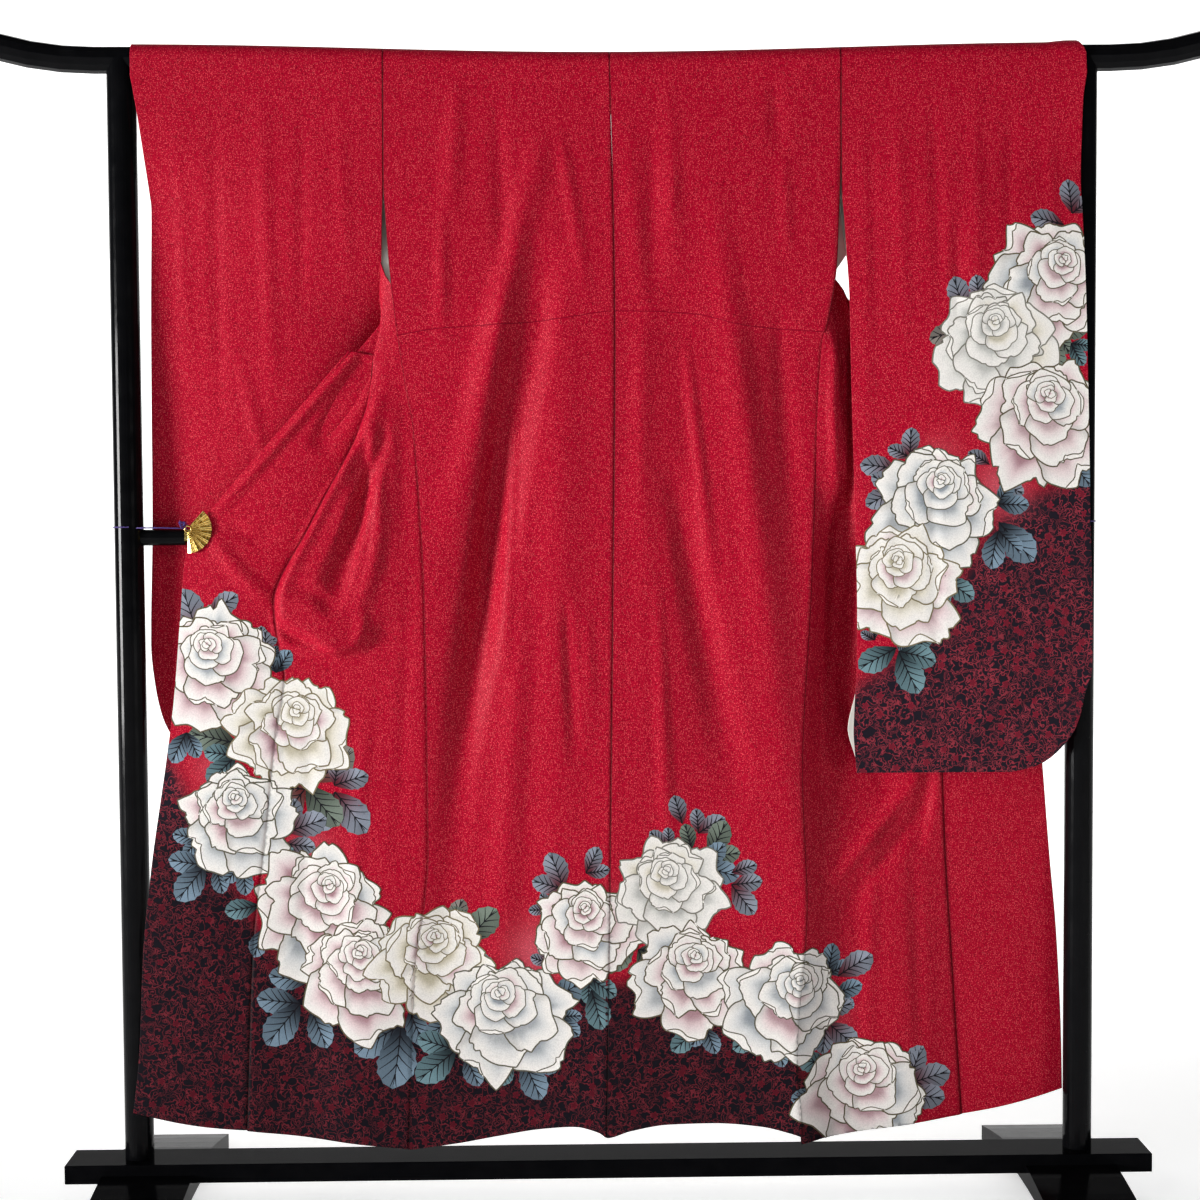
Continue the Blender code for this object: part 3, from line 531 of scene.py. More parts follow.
def swell(t):
    """0 at both ends of 0 to 1, 1 in the middle."""
    return np.sin(np.pi * np.clip(t, 0.0, 1.0))


def bar_centre(x):
    """Height of the bar's axis: a slight sag between the posts, upswept ends."""
    reach = np.abs(x)
    between = BAR_CENTRE_Z - BAR_SAG * (0.5 + 0.5 * np.cos(np.pi * x / POST_X))
    beyond = np.clip(reach - BAR_BEND_X, 0.0, None)
    ends = BAR_CENTRE_Z + BAR_BEND_RADIUS - np.sqrt(BAR_BEND_RADIUS ** 2 - beyond ** 2)
    return np.where(reach <= POST_X, between, ends)


def wrap_radius(x):
    """Radius of the cloth over the bar, opened at the right cuff to clear the post."""
    return WRAP_RADIUS + CUFF_OPENING * ease((x - CUFF_OPENING_FROM_X) / CUFF_OPENING_OVER)


def wrap_point(x, part):
    """Points of the cloth over the bar, from its near side at part 0 to its far side at 1."""
    radius = wrap_radius(x)
    angle = np.pi * part
    return np.stack([x, -radius * np.cos(angle), bar_centre(x) + radius * np.sin(angle)], -1)


def down_folds(table, x, z):
    """How far steep soft folds stand out or in at places: ends given from top to foot."""
    depth = np.zeros(np.shape(x))
    for top_x, top_z, foot_x, foot_z, half_width, fold_depth in table:
        t = (top_z - z) / (top_z - foot_z)
        line = blend(top_x, foot_x, t)
        depth += fold_depth * hump(x - line, half_width * (1 + 0.5 * np.clip(t, 0, 1))) * swell(t) ** 0.6
    return depth


def creases(table, x, z):
    """Depth of soft creases along lines in any direction, fading at their ends."""
    depth = np.zeros(np.shape(x))
    for x0, z0, x1, z1, half_width, crease_depth in table:
        length = math.hypot(x1 - x0, z1 - z0)
        along = ((x - x0) * (x1 - x0) + (z - z0) * (z1 - z0)) / length ** 2
        off = ((x - x0) * (z1 - z0) - (z - z0) * (x1 - x0)) / length
        depth += crease_depth * hump(off, half_width) * swell(along) ** 0.7
    return depth


def bent(path):
    """Close places on a smooth curve through a path."""
    path = np.asarray(path, float)
    run = np.concatenate([[0], np.cumsum(np.linalg.norm(np.diff(path, axis=0), axis=1))])
    at = np.linspace(0, run[-1], 4 * len(path))
    return np.stack([smooth(run, path[:, 0], at), smooth(run, path[:, 1], at)], -1)


def path_creases(table, x, z):
    """Depth of soft creases along bent lines, fading at their ends."""
    depth = np.zeros(np.shape(x))
    for path, left, right, crease_depth in table:
        places = bent(path)
        nearest = np.full(np.shape(x), np.inf)
        off = np.zeros(np.shape(x))
        along = np.zeros(np.shape(x))
        last = len(places) - 1
        for k, (start, end) in enumerate(zip(places[:-1], places[1:])):
            step = end - start
            t = np.clip(((x - start[0]) * step[0] + (z - start[1]) * step[1]) / (step @ step), 0, 1)
            gap_x = x - start[0] - t * step[0]
            gap_z = z - start[1] - t * step[1]
            gap = np.hypot(gap_x, gap_z)
            closer = gap < nearest
            nearest = np.where(closer, gap, nearest)
            off = np.where(closer, step[0] * gap_z - step[1] * gap_x, off)
            along = np.where(closer, (k + t) / last, along)
        half = np.where(off > 0, right, left)
        depth += crease_depth * hump(nearest, half) * swell(along) ** 0.5
    return depth


def back_point(side, u, v):
    """Points of a back panel: u from the centre seam to the side, v from the hem to the bar."""
    z = np.full(np.shape(u), float(BACK_HEM[0][1]))
    for _ in range(3):
        x = blend(look_up(CENTRE_SEAM, z)[0] + side * SEAM_GAP / 2, look_up(SIDE_EDGE[side], z)[0], u)
        z = blend(look_up(BACK_HEM, x)[0], bar_centre(x), v)
    down = 1 - v
    y = -wrap_radius(x) - BACK_FALL * ease(down * 6) - BACK_LEAN * down
    y += HEM_BILLOW * np.sin(np.pi * u) * ease((down - HEM_BILLOW_FROM) / 0.5)
    held = np.minimum(1.0, 3 * u) * np.minimum(1.0, 3 * (1 - u))
    y -= (down_folds(BACK_FOLDS, x, z) + FINE_DEPTH * down_folds(FINE_FOLDS, x, z)) * held
    if side > 0:
        beside = x - TURN_LINE_X - TURN_LINE_SLOPE * (TURN_LINE_Z - z)
        y += TURN_AWAY * ease(beside / TURN_OVER) * window(z, *TURN_AWAY_SPAN)
    return np.stack([x, y, z], -1)


def back_edge_point(side, z):
    """Points of the back's side edge at heights."""
    top = bar_centre(SIDE_TOP_X * side)
    hem = look_up(BACK_HEM, SIDE_HEM_X * side)[0]
    return back_point(side, np.ones(np.shape(z)), (z - hem) / (top - hem))


def front_side_point(side, row):
    """Outer edge of a front: down the armhole, across the side opening, down the side seam."""
    out, y, z = look_up(ROW_SIDE[side], np.minimum(row, 1.0))
    armhole = np.stack([look_up(SIDE_EDGE[side], z)[0] + side * out, y, z], -1)
    seam = back_edge_point(side, look_up(SEAM_HEIGHT[side], np.maximum(row, 1.0))[0])
    seam[..., 0] -= side * SIDE_SEAM_LAP * ease((row - 1) / 0.08)
    seam[..., 1] += LAP + TOUCH + 1.8 * ease((1.15 - row) / 0.1)
    return np.where((row < 1)[..., None], armhole, seam)


def pouch_depth(u, row):
    """How far the drawn-up cloth of the left front stands out, with its U-shaped lower edge."""
    foot = look_up(POUCH_FOOT, u)[0]
    rise = ease((u - 0.02) / 0.75)
    depth = POUCH_SHARE * look_up(POUCH_GROWTH, row)[0] * rise * ease((foot + 0.012 - row) / 0.024)
    crease = POUCH_CREASE_DEPTH * hump(u - look_up(POUCH_CREASE, row)[0], POUCH_CREASE_HALF_WIDTH)
    return depth - crease * window(row, *POUCH_CREASE_SPAN)


def front_relief(side, point, u, held):
    """Depth of a front's creases at points. The bent ones fade where held is below 1."""
    x = point[..., 0]
    z = point[..., 2]
    return creases(FRONT_CREASES[side], x, z) * swell(u) ** 0.5 + path_creases(FRONT_PATHS[side], x, z) * held


def front_point(side, u, row):
    """Points of a front: u from the side to the neck edge or overlap seam, by table row."""
    outer = front_side_point(side, row)
    inner = np.stack(look_up(FRONT_SEAM[side], row), -1)
    inner[..., 1] -= LAP * ease((row - 0.92) / 0.12)
    point = blend(outer, inner, u[..., None])
    slack = window(row, *SLACK_SPAN) * np.sin(np.pi * u)
    point[..., 1] -= ARMHOLE_SAG_Y * slack
    point[..., 2] -= ARMHOLE_SAG_Z * slack
    twist = window(row, *OPENING_SPAN[side]) * np.sin(np.pi * u)
    point[..., 0] -= side * OPENING_TWIST[side] * twist
    if side < 0:
        point[..., 1] += OPENING_TURN * twist * ease((row - 0.9) / 0.1)
        pouch = pouch_depth(u, row) * ease((1 - u) / 0.07) + 1.6 * ease((1.5 - row) / 0.06) * u
        point[..., 1] -= np.where(row > 0.98, pouch, 0.0)
    else:
        start = 0.45 * ease((1.36 - row) / 0.12)
        billow = ease((row - 0.95) / 0.1) * ease((u - start) / 0.22) * (1 - u)
        point[..., 1] += RIGHT_FRONT_BILLOW * billow
        point[..., 1] += RIGHT_WELL * window(row, *WELL_SPAN) * ease(u / 0.16) * ease((0.95 - u) / 0.4)
        forward = window(row, *FORWARD_SPAN) * np.sin(np.pi * np.minimum(1, 1.1 * u)) ** 0.7
        point[..., 1] -= RIGHT_FORWARD * forward
    wave = np.sin(2 * np.pi * u) * np.sin(np.pi * u)
    point[..., 1] += side * LOWER_WAVE * ease((row - 1.5) / 0.4) * wave
    held = np.minimum(1, u / 0.12) * np.minimum(1, (1 - u) / 0.02)
    point[..., 1] -= front_relief(side, point, u, held) * ease((row - 1.0) / 0.1)
    return point


def okumi_point(side, u, row):
    """Points of an overlap panel: u from its seam to its free edge."""
    inner = np.stack(look_up(FRONT_SEAM[side], row), -1)
    inner[..., 0] -= side * OKUMI_LAP
    if side > 0:
        inner[..., 1] += RIGHT_OKUMI_STEP * ease((1.35 - row) / 0.2)
    outer = np.stack(look_up(FREE_EDGE[side], row), -1)
    point = blend(inner, outer, u[..., None])
    belly = np.sin(np.pi * u)
    point[..., 1] -= OKUMI_BELLY[side] * belly * ease((row - OKUMI_FIRST_ROW) / 0.2)
    point[..., 2] -= OKUMI_DIP * belly * np.maximum(row - 1.9, 0.0) / 0.1
    point[..., 1] -= front_relief(side, point, u, np.minimum(1, u / 0.04))
    if side < 0:
        point[..., 1] -= ROLLED_EDGE * hump(u - 0.965, 0.06) * ease((1.31 - row) / 0.03)
    return point


def sleeve_point(side, u, z, layer):
    """Points of a sleeve: u from the body to the cuff, layer -1 is near and 1 is far."""
    inner_x, outer_x, inner_y, outer_y, inner_gap, outer_gap = look_up(SLEEVE[side], z)
    if side > 0 and layer > 0:
        outer_x = np.minimum(outer_x, look_up(RIGHT_FAR_LIMIT, z)[0])
        inner_x = inner_x + LINING_HIDE * ease((1400 - z) / 60)
        inner_x -= (LINING_PEEP + LINING_HIDE) * hump(z - PEEP_Z, PEEP_HALF_HEIGHT)
    x = blend(inner_x, outer_x, u)
    turn = np.where(z < 1500, u ** 2, blend(u, u ** 2, ease((NECK_EDGE_Z - z) / 112)))
    half = np.maximum(blend(inner_gap, outer_gap, turn), SILK / 2)
    puff = SLEEVE_PUFF[side] * np.sin(np.pi * np.minimum(u * 1.1, 1.0)) * window(z, *PUFF_SPAN)
    y = blend(inner_y, outer_y, u) + layer * (half + puff)
    y -= (creases(SLEEVE_CREASES[side], x, z) + path_creases(SLEEVE_PATHS[side], x, z)) * swell(u) ** 0.5
    if side > 0:
        y -= RIGHT_SLEEVE_TURN * u * window(z, *RIGHT_SLEEVE_SPAN)
    else:
        inward = LEFT_SLEEVE_TURN * np.maximum(0.0, 1 - 2 * u) ** 2
        inward += LEFT_SLEEVE_DIP * np.maximum(0.0, 1 - 6 * u) ** 2
        y += inward * window(z, *LEFT_SLEEVE_SPAN)
    return np.stack([x, y, z], -1)


def laid_at(total, dense, step):
    """Fractions from 0 to 1 across a width: close together at the edges, then a step apart."""
    count = max(4, int(round((total - 2 * dense[-1]) / step)))
    places = list(dense) + list(np.linspace(dense[-1], total - dense[-1], count + 1)[1:-1])
    places += [total - d for d in reversed(dense)]
    return np.array(places) / total


def edge_roll(off):
    """How far cloth sinks towards a sewn edge, by the distance from it, so that a seam shows as a furrow."""
    return SEAM_SINK * np.clip(1 - np.maximum(off, 0) / SEAM_ROLL, 0, 1) ** 2


def with_painted_seam_shade(ground, *distances):
    """Shares of the print's ground with the painted shade of the seams, darkest on them, at distances in
    millimetres.
    """
    nearest = np.min(np.broadcast_arrays(*distances), axis=0)
    return np.concatenate([ground, np.clip(1 - nearest / SEAM_PAINTED_SHADE_WIDTH, 0, 1)[..., None]], -1)


def grid_quads(grid):
    """Four corners of each cell of a grid of points, row by row."""
    rows, columns = grid.shape[:2]
    number = np.arange(rows * columns).reshape(rows, columns)
    return np.stack([number[:-1, :-1], number[1:, :-1], number[1:, 1:], number[:-1, 1:]], -1).reshape(-1, 4)


def add_object(name, data):
    """Object in the scene."""
    obj = bpy.data.objects.new(name, data)
    bpy.context.scene.collection.objects.link(obj)
    return obj


def add_piece(name, data):
    """Object that belongs to the part, whose one body is its root."""
    obj = add_object(name, data)
    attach(obj, "root")
    return obj


def cloth(name, grid, materials, thickness=SILK, keep=None, ground=None):
    """Thin shell on a grid of points in millimetres, its outer face silk and its inner face lining."""
    quads = grid_quads(grid)
    if keep is not None:
        quads = quads[keep.ravel()[quads].all(1)]
    used, inverse = np.unique(quads, return_inverse=True)
    mesh = bpy.data.meshes.new(name)
    mesh.from_pydata((grid.reshape(-1, 3)[used] * MM).tolist(), [], inverse.reshape(-1, 4).tolist())
    # The third share, seam, is painted shade along sewn seams
    if ground is not None:
        for column, share_name in enumerate(("dark", "glow", "seam")):
            share = mesh.attributes.new(share_name, "FLOAT", "POINT")
            share.data.foreach_set("value", ground.reshape(-1, 3)[used, column].astype(np.float32))
    for mat in materials:
        mesh.materials.append(mat)
    mesh.shade_smooth()
    obj = add_piece(name, mesh)
    wall = obj.modifiers.new("Cloth", "SOLIDIFY")
    wall.thickness = thickness * MM
    wall.offset = 0.0
    wall.use_even_offset = False
    wall.material_offset = 1
    wall.material_offset_rim = 0
    return obj


# Edge of the dark ground of the print, in x and z, with all below and left of it dark
LEFT_DARK = (
    (-700, 700), (-671, 689), (-627, 672), (-593, 596), (-535, 498), (-494, 409), (-419, 344),
    (-299, 289), (-242, 270), (-157, 284), (-92, 318), (-14, 326), (51, 338), (129, 306),
    (193, 284), (258, 240), (294, 192), (322, 97),
)
SLEEVE_DARK = (
    (340, 745), (391, 781), (450, 835), (480, 872), (508, 928), (553, 990), (601, 1022),
    (650, 1045), (700, 1070),
)
DARK_SOFTNESS = 20.0
FAR_ABOVE = -1000.0
# Width in millimetres of the painted shade along sewn seams
SEAM_PAINTED_SHADE_WIDTH = 1.6
# Pale bloom round some flowers
BODY_GLOWS = (
    # x, z, radius, strength
    (-428, 516, 32, 0.26), (-228, 285, 30, 0.28), (-102, 372, 40, 0.30), (22, 424, 34, 0.26),
    (305, 262, 32, 0.20), (186, 330, 30, 0.16), (-560, 640, 28, 0.15),
)
SLEEVE_GLOWS = ((556, 1032, 34, 0.30), (470, 1075, 28, 0.14))


def below_line(line, x, z):
    """Distance below a line given by its points in x and z, in millimetres, negative above it."""
    line_x, line_z = np.asarray(line, float).T
    slope = np.gradient(line_z, line_x)
    drop = np.interp(x, line_x, line_z) - z
    return drop / np.sqrt(1 + np.interp(x, line_x, slope) ** 2)


def printed_ground(line, glows, x, z):
    """Shares of the dark ground and of the pale bloom at places in x and z."""
    depth = np.where(x < line[-1][0], below_line(line, x, z), FAR_ABOVE)
    dark = ease(0.5 + depth / (2 * DARK_SOFTNESS))
    bloom = np.zeros(np.shape(x))
    for glow_x, glow_z, radius, strength in glows:
        bloom = np.maximum(bloom, strength * np.exp(-((x - glow_x) ** 2 + (z - glow_z) ** 2) / radius ** 2))
    return np.stack([dark, bloom], -1)


# Materials


def feed(tree, target, values):
    """Give a node's inputs their values, or link sockets to them."""
    for key, value in dict(values).items():
        if isinstance(value, bpy.types.NodeSocket):
            tree.links.new(value, target.inputs[key])
        else:
            target.inputs[key].default_value = value


def new_material(name, roughness, metallic=0.0):
    """Principled material with its shader and node tree."""
    mat = bpy.data.materials.new(name)
    mat.use_nodes = True
    shader = mat.node_tree.nodes["Principled BSDF"]
    feed(mat.node_tree, shader, {"Roughness": roughness, "Metallic": metallic})
    return mat, shader, mat.node_tree


def node(tree, kind, values=(), **settings):
    """New shader node with its settings, and values or sockets for its inputs."""
    made = tree.nodes.new("ShaderNode" + kind)
    for key, value in settings.items():
        setattr(made, key, value)
    feed(tree, made, values)
    return made


def ramp(tree, source, *stops):
    """Colour ramp fed by a socket: stops are (place, colour or grey level)."""
    made = node(tree, "ValToRGB", {"Fac": source})
    elements = made.color_ramp.elements
    while len(elements) > 1:
        elements.remove(elements[-1])
    for number, (place, colour) in enumerate(stops):
        element = elements.new(place) if number else elements[0]
        element.position = place
        element.color = colour if isinstance(colour, tuple) else (colour, colour, colour, 1.0)
    return made.outputs["Color"]


def mix(tree, factor, first, second, blend_type="MIX"):
    """Mix of two colours. Each of them and the factor is a socket or a value."""
    values = {0: factor, 6: first, 7: second}
    return node(tree, "Mix", values, data_type="RGBA", blend_type=blend_type).outputs[2]


def maths(tree, operation, *values):
    """One sum of values or sockets."""
    return node(tree, "Math", dict(enumerate(values)), operation=operation).outputs[0]


def places_on(tree):
    """Places on the object, in metres."""
    return node(tree, "TexCoord").outputs["Object"]


def noise(tree, place, scale, detail=2.0, output="Fac", **settings):
    """Cloudy noise over places."""
    values = {"Vector": place, "Scale": scale, "Detail": detail}
    return node(tree, "TexNoise", values, **settings).outputs[output]


def attribute(tree, name, output="Fac"):
    """Value stored on the mesh."""
    return node(tree, "Attribute", attribute_name=name).outputs[output]


def crepe(tree, place, scale):
    """Height of the crepe's fine wavy grain."""
    values = {"Vector": place, "Scale": scale, "Detail": 2.0, "Roughness": 0.5, "Distortion": 0.5}
    return node(tree, "TexNoise", values).outputs["Fac"]


def specks(tree, place):
    """Tiny bright specks of uneven strength: gold powder in the silk, with the glints it gives painted into
    its colour.
    """
    cells = flat_cells(tree, flat_place(tree, place), SPECK_SCALE)
    dots = ramp(tree, cells.outputs["Distance"], (0.14, 1.0), (0.42, 0.0))
    pick = node(tree, "SeparateColor", {0: cells.outputs["Color"]})
    return maths(tree, "MULTIPLY", dots, maths(tree, "POWER", pick.outputs["Green"], 2.0))


def flat_place(tree, place):
    """Places seen from the front, with the height as the second number."""
    parts = node(tree, "SeparateXYZ", {0: place})
    return node(tree, "CombineXYZ", {"X": parts.outputs["X"], "Y": parts.outputs["Z"]}).outputs[0]


def flat_cells(tree, flat, scale, feature="F1"):
    """Irregular cells across flat places."""
    values = {"Vector": flat, "Scale": scale}
    return node(tree, "TexVoronoi", values, voronoi_dimensions="2D", feature=feature)


def add_bump(tree, shader, height, distance, strength):
    """Fine relief from a height socket."""
    bump = node(tree, "Bump", {"Distance": distance, "Strength": strength, "Height": height})
    feed(tree, shader, {"Normal": bump.outputs["Normal"]})


RED = (0.425, 0.0008, 0.0215, 1.0)
RED_DEEP = (0.355, 0.0006, 0.0175, 1.0)
# Painted glints: bright specks of the gold powder in the red
RED_GLINT = (1.0, 0.130, 0.150, 1.0)
GLINT_SHARE = 0.80
# Factor on the colour for the painted shade in the furrows of sewn seams
SEAM_PAINTED_SHADE = (0.30, 0.30, 0.30, 1.0)
SHEEN_TINT = (1.0, 0.35, 0.45, 1.0)
BLOOM = (0.75, 0.22, 0.27, 1.0)
NIGHT = (0.0120, 0.0090, 0.0150, 1.0)
VINE_RED = (0.260, 0.0300, 0.0450, 1.0)
VINE_BRIGHT = (0.250, 0.0120, 0.0280, 1.0)
# Painted light and shade: below HEM_FROM the dark ground is only the share given next as bright as above
# HEM_TO, in metres, for the sheen that lights it higher up
HEM_SHADE_SHARE = 0.52
HEM_FROM = 0.52
HEM_TO = 0.62
# Scales of the textures, each how often it repeats in a metre
SPECK_SCALE = 490.0
GRAIN_SCALE = 620.0
SLOW_SCALE = 6.0
CLUMP_SCALE = 34.0
VINE_SCALE = 74.0
BUD_SCALE = 1.35 * VINE_SCALE
FLOWER_SCALE = 46.0
CURL_SCALE = 90.0
CURL_REACH = 0.022
WEAVE_SCALE = 900.0
# Vines and flowers, as shares of a cell
BUD_RING = 0.30
FLOWER_RADIUS = 0.12
PETAL_REACH = 0.13
PETAL_EDGE = 0.80
PETAL_FILL = 0.55
FLOWERS_LEFT_OUT = 0.55
PETALS = 5


def make_silk():
    """Ruby crepe with small gold glints painted into its colour. Its dark ground is covered in red vines and
    small flowers, with painted shade towards the hem and along sewn seams.
    """
    mat, shader, tree = new_material("silk_printed", 0.5)
    place = places_on(tree)
    grain = crepe(tree, place, GRAIN_SCALE)
    ground = mix(tree, noise(tree, place, SLOW_SCALE), RED_DEEP, RED)
    ground = mix(tree, 1.0, ground, ramp(tree, grain, (0.34, 0.50), (0.52, 1.0)), "MULTIPLY")
    red = mix(tree, maths(tree, "MULTIPLY", specks(tree, place), GLINT_SHARE), ground, RED_GLINT)
    vines, flowers = vine_masks(tree, place)
    dense = ramp(tree, noise(tree, place, CLUMP_SCALE, 1.0), (0.30, 0.50), (0.55, 1.0))
    night = mix(tree, maths(tree, "MULTIPLY", vines, dense), NIGHT, VINE_RED)
    night = mix(tree, flowers, night, VINE_BRIGHT)
    height = node(tree, "SeparateXYZ", {0: place}).outputs["Z"]
    # Painted shade: the dark ground darkened towards the hem
    night = mix(tree, 1.0, night, ramp(tree, height, (HEM_FROM, HEM_SHADE_SHARE), (HEM_TO, 1.0)), "MULTIPLY")
    colour = mix(tree, attribute(tree, "dark"), red, night)
    colour = mix(tree, attribute(tree, "glow"), colour, BLOOM)
    # Painted shade: the colour is darkened along sewn seams, where their furrows hold shade
    seam = mix(tree, 1.0, colour, SEAM_PAINTED_SHADE, "MULTIPLY")
    feed(tree, shader, {"Base Color": mix(tree, attribute(tree, "seam"), colour, seam)})
    silk_surface(tree, shader, grain)
    return mat


def silk_surface(tree, shader, grain):
    """Soft gloss, faint sheen and grain of silk crepe."""
    feed(tree, shader, {"Sheen Weight": 0.03, "Sheen Roughness": 0.4, "Sheen Tint": SHEEN_TINT})
    feed(tree, shader, {"Specular IOR Level": 0.06})
    add_bump(tree, shader, grain, 0.0005, 0.35)


def make_print():
    """Dyed motifs: their own colours, with the crepe's grain over them."""
    mat, shader, tree = new_material("silk_motifs", 0.5)
    grain = crepe(tree, places_on(tree), GRAIN_SCALE)
    shade = ramp(tree, grain, (0.35, 0.84), (0.60, 1.0))
    feed(tree, shader, {"Base Color": mix(tree, 1.0, attribute(tree, "print", "Color"), shade, "MULTIPLY")})
    silk_surface(tree, shader, grain)
    return mat


def vine_masks(tree, place):
    """Fine curling outlines, and small flowers with five petals over them, each 0 to 1."""
    flat = flat_place(tree, place)
    curl = noise(tree, flat, CURL_SCALE, 1.0, "Color", noise_dimensions="2D")
    warp = node(tree, "VectorMath", {0: curl, "Scale": CURL_REACH}, operation="SCALE").outputs["Vector"]
    curled = node(tree, "VectorMath", {0: flat, 1: warp}, operation="ADD").outputs["Vector"]
    net = flat_cells(tree, curled, VINE_SCALE, "DISTANCE_TO_EDGE")
    lines = ramp(tree, net.outputs["Distance"], (0.030, 1.0), (0.060, 0.0))
    buds = flat_cells(tree, curled, BUD_SCALE)
    off_ring = maths(tree, "ABSOLUTE", maths(tree, "SUBTRACT", buds.outputs["Distance"], BUD_RING))
    lines = maths(tree, "MAXIMUM", lines, ramp(tree, off_ring, (0.025, 1.0), (0.060, 0.0)))
    cells = flat_cells(tree, flat, FLOWER_SCALE)
    off = node(tree, "VectorMath", {0: flat, 1: cells.outputs["Position"]}, operation="SUBTRACT")
    parts = node(tree, "SeparateXYZ", {0: off.outputs["Vector"]})
    angle = maths(tree, "ARCTAN2", parts.outputs["Y"], parts.outputs["X"])
    lobes = maths(tree, "ABSOLUTE", maths(tree, "COSINE", maths(tree, "MULTIPLY", angle, PETALS / 2)))
    radius = maths(tree, "MULTIPLY_ADD", lobes, PETAL_REACH, FLOWER_RADIUS)
    inside = maths(tree, "LESS_THAN", cells.outputs["Distance"], radius)
    ring = maths(tree, "GREATER_THAN", cells.outputs["Distance"], maths(tree, "MULTIPLY", radius, PETAL_EDGE))
    pick = node(tree, "SeparateColor", {0: cells.outputs["Color"]})
    chosen = maths(tree, "GREATER_THAN", pick.outputs["Red"], FLOWERS_LEFT_OUT)
    shown = maths(tree, "MULTIPLY", inside, chosen)
    flowers = maths(tree, "MULTIPLY", maths(tree, "MAXIMUM", ring, PETAL_FILL), shown)
    return maths(tree, "MULTIPLY", lines, maths(tree, "SUBTRACT", 1.0, shown)), flowers


def make_lining():
    """Thin plain habutai silk, cream."""
    mat, shader, tree = new_material("lining_cream", 0.45)
    place = places_on(tree)
    colour = mix(tree, noise(tree, place, 9.0), CREAM_SHADE, CREAM)
    feed(tree, shader, {"Base Color": colour, "Sheen Weight": 0.2})
    add_bump(tree, shader, crepe(tree, place, WEAVE_SCALE), 0.0002, 0.3)
    return mat


def make_lacquer(name, specular):
    """Black gloss lacquer with the faintest waviness and dust."""
    mat, shader, tree = new_material(name, 0.12)
    place = places_on(tree)
    dust = noise(tree, place, 40.0, 4.0)
    tint = ramp(tree, dust, (0.3, LACQUER_BLACK), (0.8, LACQUER_DUSTY))
    rough = ramp(tree, dust, (0.4, 0.10), (0.75, 0.19))
    feed(tree, shader, {"Base Color": tint, "Roughness": rough, "Specular IOR Level": specular})
    add_bump(tree, shader, noise(tree, place, 14.0, 1.0), 0.0008, 0.2)
    return mat


def make_gold():
    """Polished gilt metal, a little rubbed."""
    mat, shader, tree = new_material("gilt", 0.22, 1.0)
    rub = noise(tree, places_on(tree), 220.0, 4.0)
    colour = ramp(tree, rub, (0.3, GOLD_RUBBED), (0.7, GOLD))
    feed(tree, shader, {"Base Color": colour, "Roughness": ramp(tree, rub, (0.3, 0.16), (0.8, 0.34))})
    return mat


def make_cord_material():
    """Purple twisted silk cord, darker in the grooves of its twist: painted shade."""
    mat, shader, tree = new_material("purple_silk_cord", 0.6)
    values = {"Vector": places_on(tree), "Scale": 330.0, "Distortion": 2.0}
    twist = node(tree, "TexWave", values, bands_direction="DIAGONAL").outputs["Fac"]
    # Painted shade: darker purple in the grooves of the twist
    colour = ramp(tree, twist, (0.2, PURPLE_GROOVE_SHADE), (0.8, PURPLE))
    feed(tree, shader, {"Base Color": colour, "Sheen Weight": 0.1})
    add_bump(tree, shader, twist, 0.0004, 0.5)
    return mat


CREAM = (0.74, 0.71, 0.66, 1.0)
CREAM_SHADE = (0.6512, 0.6248, 0.5808, 1.0)
LACQUER_BLACK = (0.0022, 0.0023, 0.0028, 1.0)
LACQUER_DUSTY = (0.0040, 0.0040, 0.0046, 1.0)
GOLD_RUBBED = (0.62, 0.40, 0.09, 1.0)
GOLD = (0.90, 0.68, 0.24, 1.0)
PURPLE_GROOVE_SHADE = (0.016, 0.004, 0.075, 1.0)
PURPLE = (0.055, 0.014, 0.230, 1.0)

